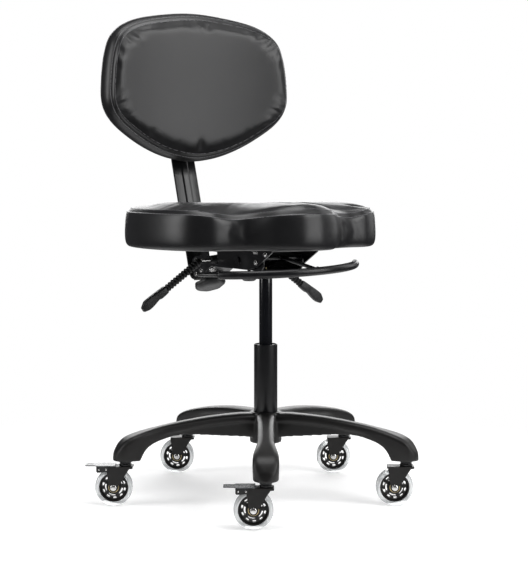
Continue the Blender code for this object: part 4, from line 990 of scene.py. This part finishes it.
# %% Turn the knobs
def knob(radius, thick, lobes, scallop, stud, stud_length):
    """Domed knob with finger scallops below Z = 0 and its threaded stud above."""
    levels = [(0.30, -thick), (0.58, -thick * 0.97), (0.80, -thick * 0.86), (0.93, -thick * 0.68),
              (1.0, -thick * 0.42), (1.0, -thick * 0.16), (0.97, -thick * 0.04), (0.92, -0.0002)]
    rings = []
    for share, z in levels:
        depth = scallop * ease(share, 0.55, 0.95)
        rings.append([Vector((cos(a), sin(a), 0)) * (radius * share - depth * (0.5 - 0.5 * cos(lobes * a)))
                      + UP * z
                      for a in (2 * pi * k / 96 for k in range(96))])
    thread = [(stud * (1 - 0.09 * (k % 2)), 0.0006 * k - 0.002)
              for k in range(int(stud_length / 0.0006) + 1)]
    return together(skin(rings), lathe([(0, -0.002), *thread, (0, thread[-1][1])], 28))


clamp_low, clamp_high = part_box("back_knob")
clamp_axis = Vector(joints["clamp_turn"]["axis"])
clamp_axis *= 1 if clamp_axis.z > 0 else -1
clamp_at = Vector(joints["clamp_turn"]["pos_m"])
clamp_mesh = knob(0.0360, 0.0160, 7, 0.0022, 0.0048, 0.0114)
hang("depth_knob", moved(clamp_mesh, facing(clamp_at + clamp_axis * 0.0080, clamp_axis)), plastic, "clamp",
     ["back_knob"], crease=40)
tension_at = Vector(joints["tension_turn"]["pos_m"])
tension_low, tension_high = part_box("tension_knob")
tension_mesh = knob(span("tension_knob").x / 2, tension_at.z - tension_low.z, 6, 0.0016, 0.0039,
                    tension_high.z - tension_at.z - 0.0004)
hang("tilt_spring_knob", moved(tension_mesh, Matrix.Translation(tension_at)), plastic, "tension",
     ["tension_knob"], crease=40)
nut = bolt(Vector((*tension_at.xy, tension_at.z + 0.0002)), UP, 0.0070, 0.0042)
hang("tilt_spring_nut", nut, zinc, "tension")
print("the depth knob is", round(clamp_high.x - clamp_low.x, 3), "m across")

# %% [markdown]
# ## The back's bar and shell
# A flat steel bar with a rib pressed into its middle carries the back. It is one sweep whose section grows
# the rib a little above the lower bend. The shell behind the pad is moulded, with a sleeve in which the bar
# slides. Shell and pad share one outline, drawn from a few points and mirrored.

# %% Bend the bar
BAR_HALF, BAR_THICK, BAR_RIB, BEND = 0.0290, 0.0060, 0.0020, 0.0220
bar_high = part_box("back_bar")[1]
nape = Vector((column.x, bar_high.y - BAR_THICK / 2, bar_high.z - 0.2350))
heel, foot = nape - Vector((0, 0.1071, 0.3107)), nape - Vector((0, 0.2096, 0.2641))
bar_top = Vector((column.x, nape.y, bar_high.z))


def bent(corners, radius, steps=10):
    """Straight runs between corners joined by round bends."""
    path = [corners[0]]
    for before, corner, after in zip(corners, corners[1:], corners[2:]):
        coming, going = (before - corner).normalized(), (after - corner).normalized()
        reach = radius / tan(coming.angle(going) / 2)
        centre = corner + (coming + going).normalized() * hypot(radius, reach)
        start, end = ((corner + way * reach - centre).normalized() for way in (coming, going))
        path += [centre + start.slerp(end, k / steps) * radius for k in range(steps + 1)]
    return path + [corners[-1]]


corner_path = bent([foot, heel, nape, bar_top], BEND)
lean = (nape - heel).normalized()
bar_path = corner_path[:12] + [heel + lean * d for d in np.linspace(0.03, 0.30, 28)] + corner_path[12:]
rib_start = heel.z + 0.118


def bar_section(k):
    """Flat bar with rounded edges; the rib rises smoothly out of its front."""
    rise = BAR_RIB * ease(bar_path[k].z, rib_start, rib_start + 0.022)
    half, thick = BAR_HALF, BAR_THICK / 2
    outline = [(-half, -thick), (half, -thick), (half, thick), (0.0095, thick), (0.0065, thick + rise),
               (-0.0065, thick + rise), (-0.0095, thick), (-half, thick)]
    return rounded_corners(outline, 0.0009, 2)


hang("back_support_bar", sweep(bar_path, bar_section), powder, "bar", ["back_bar"], crease=40)
print("the bar rises", round(bar_top.z - heel.z, 3), "m from its heel")

# %% [markdown]
# ## Outlines for the upholstery
# A cover is cut from flat panels, so it starts as an outline: half of it as a few points, mirrored and made
# smooth, with its points spread evenly so that folds and stitches come out at one size all round.

# %% Draw outlines
def even(points, count):
    """The closed line through those points, with `count` points at even steps along it."""
    line = np.array([tuple(p) for p in [*points, points[0]]])
    along = np.concatenate([[0], np.cumsum(np.linalg.norm(np.diff(line, axis=0), axis=1))])
    marks = np.linspace(0, along[-1], count, endpoint=False)
    return [Vector(p)
            for p in np.stack([np.interp(marks, along, line[:, k]) for k in range(line.shape[1])], axis=1)]


def whole_outline(half, count):
    """Even closed outline from a half that starts and ends on the middle line."""
    points = [(*p, 0) for p in half] + [(-x, y, 0) for x, y in reversed(half[1:-1])]
    return [Vector((p.x, p.y)) for p in even(smooth_curve(points, 16, closed=True), count)]


def outward(outline, distance):
    """Closed outline moved out square to itself, or in when negative."""
    out = []
    for k, here in enumerate(outline):
        tangent = (outline[(k + 2) % len(outline)] - outline[k - 2]).normalized()
        out.append(here + Vector((tangent.y, -tangent.x)) * distance)
    area = sum(a.x * b.y - b.x * a.y for a, b in zip(outline, outline[1:] + outline[:1]))
    return out if area > 0 else [2 * here - p for here, p in zip(outline, out)]


# half outlines as (sideways, forward-back) and (sideways, up) points
SEAT_HALF = ((0.0, 0.2960), (0.100, 0.2920), (0.186, 0.2580), (0.245, 0.1820), (0.2640, 0.0900),
             (0.2580, 0.0), (0.2320, -0.0740), (0.1890, -0.1080), (0.1450, -0.1120), (0.1050, -0.1300),
             (0.0700, -0.1700), (0.0300, -0.1910), (0.0, -0.1950))
BACK_HALF = ((0.0, 0.1280), (0.0700, 0.1225), (0.1480, 0.1070), (0.1960, 0.0800), (0.2155, 0.0400),
             (0.2245, -0.0200), (0.2235, -0.0730), (0.2000, -0.1110), (0.1480, -0.1480), (0.0970, -0.1735),
             (0.0500, -0.1880), (0.0, -0.1940))
seat_outline, back_outline = whole_outline(SEAT_HALF, 260), whole_outline(BACK_HALF, 200)
print("the seat's seam has", len(seat_outline), "points and the back's", len(back_outline))

# %% [markdown]
# ## Sewing, swelling and stitching
# Each cover is a skin of quads over a boxing strip and a top panel that meet at a seam. A short cloth
# simulation with air pressure swells it while the seam and the stapled edge are held, and the swelling is
# capped so that the pad stays in its CAD solid's room. Stitches are then laid along the swollen seam, one
# small bent thread each.

# %% Swell a cover
def sewn(rings, body, name, stands_for):
    """Cover over rings of points: the rings' grid, riding on its body."""
    return hang(name, skin(rings), vinyl, body, [stands_for], crease=75)


def swell(piece, held, cap, pressure=4.0):
    """Blow a cover up with the Cloth modifier, hold the given points, and keep the shape that it takes."""
    flat = np.array([v.co for v in piece.data.vertices])
    group = piece.vertex_groups.new(name="held")
    group.add(held, 1.0, "REPLACE")
    cloth = piece.modifiers.new("swell", "CLOTH")
    cloth.settings.quality = 6
    cloth.settings.mass = 0.25
    cloth.settings.tension_stiffness = cloth.settings.compression_stiffness = 18
    cloth.settings.bending_stiffness = 1.5
    cloth.settings.vertex_group_mass = "held"
    cloth.settings.use_pressure = True
    cloth.settings.uniform_pressure_force = pressure
    cloth.settings.effector_weights.gravity = 0
    for step in range(1, 21):
        scene.frame_set(step)
    worked = piece.evaluated_get(bpy.context.evaluated_depsgraph_get())
    shift = np.array([v.co for v in worked.data.vertices]) - flat
    length = np.linalg.norm(shift, axis=1, keepdims=True)
    shift *= np.minimum(1, cap / np.maximum(length, 1e-9))
    piece.modifiers.remove(cloth)
    scene.frame_set(1)
    piece.data.vertices.foreach_set("co", (flat + shift).ravel())
    piece.data.update()
    return float(np.linalg.norm(shift, axis=1).max())


def finer(piece):
    """One subdivision for the finished cover."""
    fine = piece.modifiers.new("fine", "SUBSURF")
    fine.levels = fine.render_levels = 1


def stitches(piece, first, count, pitch, lift):
    """Thread along one ring of the cover: short bent stitches that dive in at both ends."""
    mesh = piece.data
    line = [mesh.vertices[first + k].co.copy() for k in range(count)]
    normals = [mesh.vertices[first + k].normal.copy() for k in range(count)]
    length = sum((line[k] - line[k - 1]).length for k in range(count))
    total = round(length / pitch)
    joined = [Vector((*p, *n)) for p, n in zip(line, normals)]
    marks = even(joined, total * 4)
    threads = []
    for k in range(total):
        path = []
        for step, depth in enumerate((-0.0008, 0.0003, 0.0004, -0.0008)):
            spot = marks[(4 * k + step) % len(marks)]
            path.append(Vector(spot[:3]) + Vector(spot[3:]).normalized() * (lift + depth))
        threads.append(sweep(path, lambda j: circle(0.00042, 6), Vector(spot[3:]).normalized()))
    return together(*threads), total


print("covers can be swollen and stitched")

# %% [markdown]
# ## The seat's cushion
# Seen from above it is a saddle: a wide rear, two hollows for the thighs and a nose that rises between
# them. The boxing strip bulges between the seam and the stapled edge. The top panel climbs quickly inside
# the seam, like a foam edge under tight vinyl, and is shallow in the middle. Small puckers run in from the
# seam and fade out.

# %% Shape and swell the seat
board_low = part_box("seat_cushion")[0].z
seat_top_seam = board_low + 0.0770


def seam_height(x, y):
    """The seat's top seam dips at the thigh hollows."""
    return seat_top_seam - 0.0110 * ease(-y, 0.0, 0.10) * exp(-((abs(x) - 0.135) / 0.055) ** 2)


def seat_top(x, y, inside):
    """Height of the cover at a place that far inside the seam."""
    nose = ease(-y, 0.05, 0.17) * exp(-(x / 0.075) ** 2)
    pucker = 0.00015 * noise.noise((x * 90, y * 90, 0.0)) * exp(-inside / 0.012)
    crown = 0.0150 * (1 - exp(-inside / 0.016)) + 0.0015 * ease(inside, 0.03, 0.12)
    dish = 0.0030 * exp(-((x / 0.13) ** 2 + ((y - 0.10) / 0.10) ** 2))
    return seam_height(x, y) + crown - dish + 0.0080 * nose * ease(inside, 0.0, 0.03) + pucker


# boxing strip from the stapled edge up to the seam, as (outward from the outline, share of the height)
SEAT_BOXING = ((-0.034, 0.010), (-0.022, 0.000), (-0.013, 0.000), (-0.008, 0.020), (-0.0045, 0.060),
               (-0.0025, 0.11), (-0.0012, 0.18), (-0.0006, 0.26), (-0.0004, 0.34), (-0.0004, 0.42),
               (-0.0006, 0.50), (-0.0010, 0.58), (-0.0014, 0.66), (-0.0018, 0.74), (-0.0024, 0.82),
               (-0.0030, 0.88), (-0.0038, 0.93), (-0.0048, 0.965), (-0.0062, 0.985))
SEAT_GROOVE = ((-0.0074, 0.972),)
SEAT_EDGE = (-0.0088, -0.0110, -0.0140, -0.0180, -0.0230, -0.0290)
seat_rings = []
for out, share in SEAT_BOXING + SEAT_GROOVE:
    ring = outward(seat_outline, out)
    seat_rings.append([Vector((column.x + p.x, column.y + p.y,
                               board_low + share * (seam_height(p.x, p.y) - board_low)))
                       for p in ring])
inner = outward(seat_outline, SEAT_EDGE[-1])
plans = [(outward(seat_outline, out), -out) for out in SEAT_EDGE]
plans += [([p * s + Vector((0, 0.06 * (1 - s))) for p in inner], 0.16 * (1 - s) - SEAT_EDGE[-1])
          for s in np.linspace(0.93, 0.06, 17)]
groove_index = len(seat_rings) - 1
for plan, inside in plans:
    seat_rings.append([Vector((column.x + p.x, column.y + p.y, seat_top(p.x, p.y, inside))) for p in plan])
seat = sewn(seat_rings, "seat", "seat_cover", "seat_cushion")
around = len(seat_outline)
held_rings = (0, 1, 2, groove_index)
held = [ring * around + k for ring in held_rings for k in range(around)]
print("the seat swelled by", round(swell(seat, held, 0.0035), 4), "m")

# %% Stitch the seat
finer(seat)
for label, ring in (("top", groove_index + 2), ("side", groove_index - 2)):
    mesh, total = stitches(seat, ring * around, around, 0.0046, 0.0003)
    hang(f"seat_{label}_stitches", mesh, thread, "seat")
    print(label, "seam of the seat:", total, "stitches")
dress("seat_board", liner, 0.0008)

# %% [markdown]
# ## The back's pad and shell
# The pad wraps round the sitter: its sides reach forward, more and more with the distance from the middle.
# Its boxing bulges behind the front seam, and the front panel is a shallow pillow with a crease just inside
# the seam. The moulded shell behind follows the same curve and carries the sleeve for the bar.

# %% Shape and swell the back's pad
back_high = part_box("back_cushion")[1]
WRAP, BACK_THICK = 0.56, 0.0640
back_face, back_centre = nape.y - 0.0836, back_high.z - 0.1340


def on_back(p, depth):
    """Point of the back at a depth behind its front seam."""
    return Vector((column.x + p.x, back_face + depth - WRAP * p.x ** 2, back_centre + p.y))


def pillow(inside):
    """How far the front panel stands in front of the seam at a distance inside it."""
    return 0.0105 * (1 - exp(-inside / 0.009)) + 0.0010 * ease(inside, 0.02, 0.10)


# boxing from the rear edge to the front seam, as (outward, depth)
BACK_BOXING = ((-0.040, 0.0640), (-0.022, 0.0640), (-0.0100, 0.0636), (-0.0040, 0.0615), (0.0010, 0.0570),
               (0.0044, 0.0510), (0.0068, 0.0440), (0.0082, 0.0370), (0.0088, 0.0300), (0.0080, 0.0230),
               (0.0062, 0.0165), (0.0040, 0.0110), (0.0012, 0.0070), (-0.0004, 0.0040), (-0.0020, 0.0022))
BACK_GROOVE = ((-0.0034, 0.0032),)
BACK_EDGE = (-0.0048, -0.0068, -0.0095, -0.0130, -0.0175, -0.0230)
back_rings = [[on_back(p, depth) for p in outward(back_outline, out)]
              for out, depth in BACK_BOXING + BACK_GROOVE]
inner = outward(back_outline, BACK_EDGE[-1])
plans = [(outward(back_outline, out), -out) for out in BACK_EDGE]
plans += [([p * s + Vector((0, -0.02 * (1 - s))) for p in inner], 0.12 * (1 - s) - BACK_EDGE[-1])
          for s in np.linspace(0.93, 0.06, 15)]
back_groove = len(back_rings) - 1
back_rings += [[on_back(p, -pillow(inside)) for p in plan] for plan, inside in plans]
back = sewn(back_rings, "back", "back_cover", "back_cushion")
around = len(back_outline)
held = [ring * around + k for ring in (0, 1, back_groove) for k in range(around)]
print("the back swelled by", round(swell(back, held, 0.0030), 4), "m")

# %% Stitch the back and mould its shell
finer(back)
for label, ring in (("front", back_groove + 2), ("side", back_groove - 2)):
    mesh, total = stitches(back, ring * around, around, 0.0046, 0.0003)
    hang(f"back_{label}_stitches", mesh, thread, "back")
    print(label, "seam of the back:", total, "stitches")
shell_face, SHELL_THICK, SHELL_IN = BACK_THICK + 0.0012, 0.0080, -0.0250
shell_plans = [outward(back_outline, SHELL_IN + d) for d in (-0.0015, 0.0, 0.0, -0.0008, -0.0030)]
shell_depths = (shell_face, shell_face + 0.0010, shell_face + SHELL_THICK - 0.0025,
                shell_face + SHELL_THICK - 0.0008, shell_face + SHELL_THICK)
shell_inner = outward(back_outline, SHELL_IN - 0.012)
shares = np.linspace(1.0, 0.06, 12)
shell_rings = [[on_back(p * s, shell_face) for p in shell_inner] for s in shares[::-1]]
shell_rings += [[on_back(p, depth) for p in plan] for plan, depth in zip(shell_plans, shell_depths)]
shell_rings += [[on_back(p * s, shell_face + SHELL_THICK) for p in shell_inner] for s in shares]
wall = 0.0035
slot_half = BAR_HALF + 0.0005
slot_front, slot_rear = nape.y - BAR_THICK / 2 - BAR_RIB - 0.0005, nape.y + BAR_THICK / 2 + 0.0005
sleeve_low = back_centre - 0.130 * 0.62
sleeve_outline = rounded_corners([(-slot_half - wall, back_face + shell_face + 0.003),
                                  (slot_half + wall, back_face + shell_face + 0.003),
                                  (slot_half + wall, slot_rear + wall),
                                  (-slot_half - wall, slot_rear + wall)], 0.003, 4)
sleeve_outline = [(column.x + p.x, p.y) for p in sleeve_outline]
slot_outline = [(column.x + a, b)
                for a, b in ((-slot_half, slot_front), (slot_half, slot_front), (slot_half, slot_rear),
                                               (-slot_half, slot_rear))]
shell_mesh = cut(skin(shell_rings), plate(sleeve_outline, sleeve_low, sleeve_low + 0.130), "UNION")
shell_mesh = cut(shell_mesh, plate(slot_outline, 0.5, 1.5))
hang("back_moulded_shell", shell_mesh, plastic, "back", ["back_shell"], crease=35,
     bevel=0.0006)
screw_spots = [(side * 0.075, up) for side in (-1, 1) for up in (-0.060, 0.060)]
screws = [bolt(on_back(Vector(spot), shell_face + SHELL_THICK - 0.0002), (0, 1, 0), 0.0048, 0.0022,
               washer=0.0080)
          for spot in screw_spots]
hang("back_shell_screws", together(*screws), zinc, "back")
print("the shell is held by", len(screws), "screws")

# %% [markdown]
# ## Floor, light and camera
# A studio for a product: a pale floor that fades out, an even white surround, and large soft boxes whose
# reflections draw the shapes of the dark, glossy parts. The camera looks from the front left, a little
# above the seat, with a long lens.

# %% Build the studio
def soft_box(name, azimuth, elevation, distance, width, height, power):
    """Rectangular light that looks at the stool from an azimuth right of the front."""
    a, e = radians(azimuth), radians(elevation)
    aim = column + UP * 0.6
    away = Vector((sin(a) * cos(e), -cos(a) * cos(e), sin(e)))
    lamp = bpy.data.lights.new(name, "AREA")
    lamp.shape, lamp.size, lamp.size_y, lamp.energy = "RECTANGLE", width, height, power
    light = bpy.data.objects.new(name, lamp)
    light.visible_camera = False
    light.matrix_world = facing(aim + away * distance, away)
    scene.collection.objects.link(light)


soft_box("upper_front_box", 32, 30, 3.2, 2.0, 1.3, 50)
soft_box("lower_front_box", 32, 2, 3.2, 2.0, 0.9, 26)
soft_box("left_box", -105, 15, 2.8, 1.0, 2.2, 34)
soft_box("right_box", 95, 20, 2.8, 1.2, 2.2, 12)
soft_box("backdrop_box", 150, 14, 3.2, 3.0, 1.6, 55)
soft_box("top_box", 0, 88, 2.6, 2.2, 2.2, 70)

world = bpy.data.worlds.new("studio")
scene.world = world
world.use_nodes = True
surround = world.node_tree.nodes["Background"]
seen = Wire(world.node_tree, world.node_tree.nodes.new("ShaderNodeLightPath").outputs["Is Camera Ray"])
seen.blend((0.07, 0.07, 0.074), (1.0, 1.0, 1.0)).to(surround.inputs["Color"])

floor_mesh = plate([(2.5 * cos(2 * pi * k / 64), 2.5 * sin(2 * pi * k / 64)) for k in range(64)], -0.01,
                   -0.0002)
floor = bpy.data.objects.new("studio_floor", floor_mesh)
scene.collection.objects.link(floor)
pale, shader, place = start_finish("pale_floor", 0.9)
shader.inputs["Base Color"].default_value = (0.90, 0.90, 0.90, 1.0)
shader.inputs["Emission Color"].default_value = (1.0, 1.0, 1.0, 1.0)
shader.inputs["Emission Strength"].default_value = 0.28
distance = place.node("ShaderNodeVectorMath", {"operation": "LENGTH"}, {0: place}, 1)
(1 - distance.between(0.35, 1.1)).to(shader.inputs["Alpha"])
floor_mesh.materials.append(pale)
scene.view_settings.view_transform = "Standard"

# %% Point the camera
CAMERA_OFFSET, CAMERA_HEIGHT, CAMERA_TURN, CAMERA_DIP = (-1.5844, -2.7370), 0.6906, -30, 4.293
camera_data = bpy.data.cameras.new("camera")
camera_data.lens = 94.01
camera = bpy.data.objects.new("camera", camera_data)
scene.collection.objects.link(camera)
place_at = Vector((column.x + CAMERA_OFFSET[0], column.y + CAMERA_OFFSET[1], CAMERA_HEIGHT))
turn, dip = radians(CAMERA_TURN), radians(CAMERA_DIP)
looking = Vector((-sin(turn) * cos(dip), cos(turn) * cos(dip), -sin(dip)))
camera.matrix_world = Matrix.Translation(place_at) @ looking.to_track_quat("-Z", "Y").to_matrix().to_4x4()
scene.camera = camera
print("the camera stands", round((place_at - column).xy.length, 3), "m from the column")
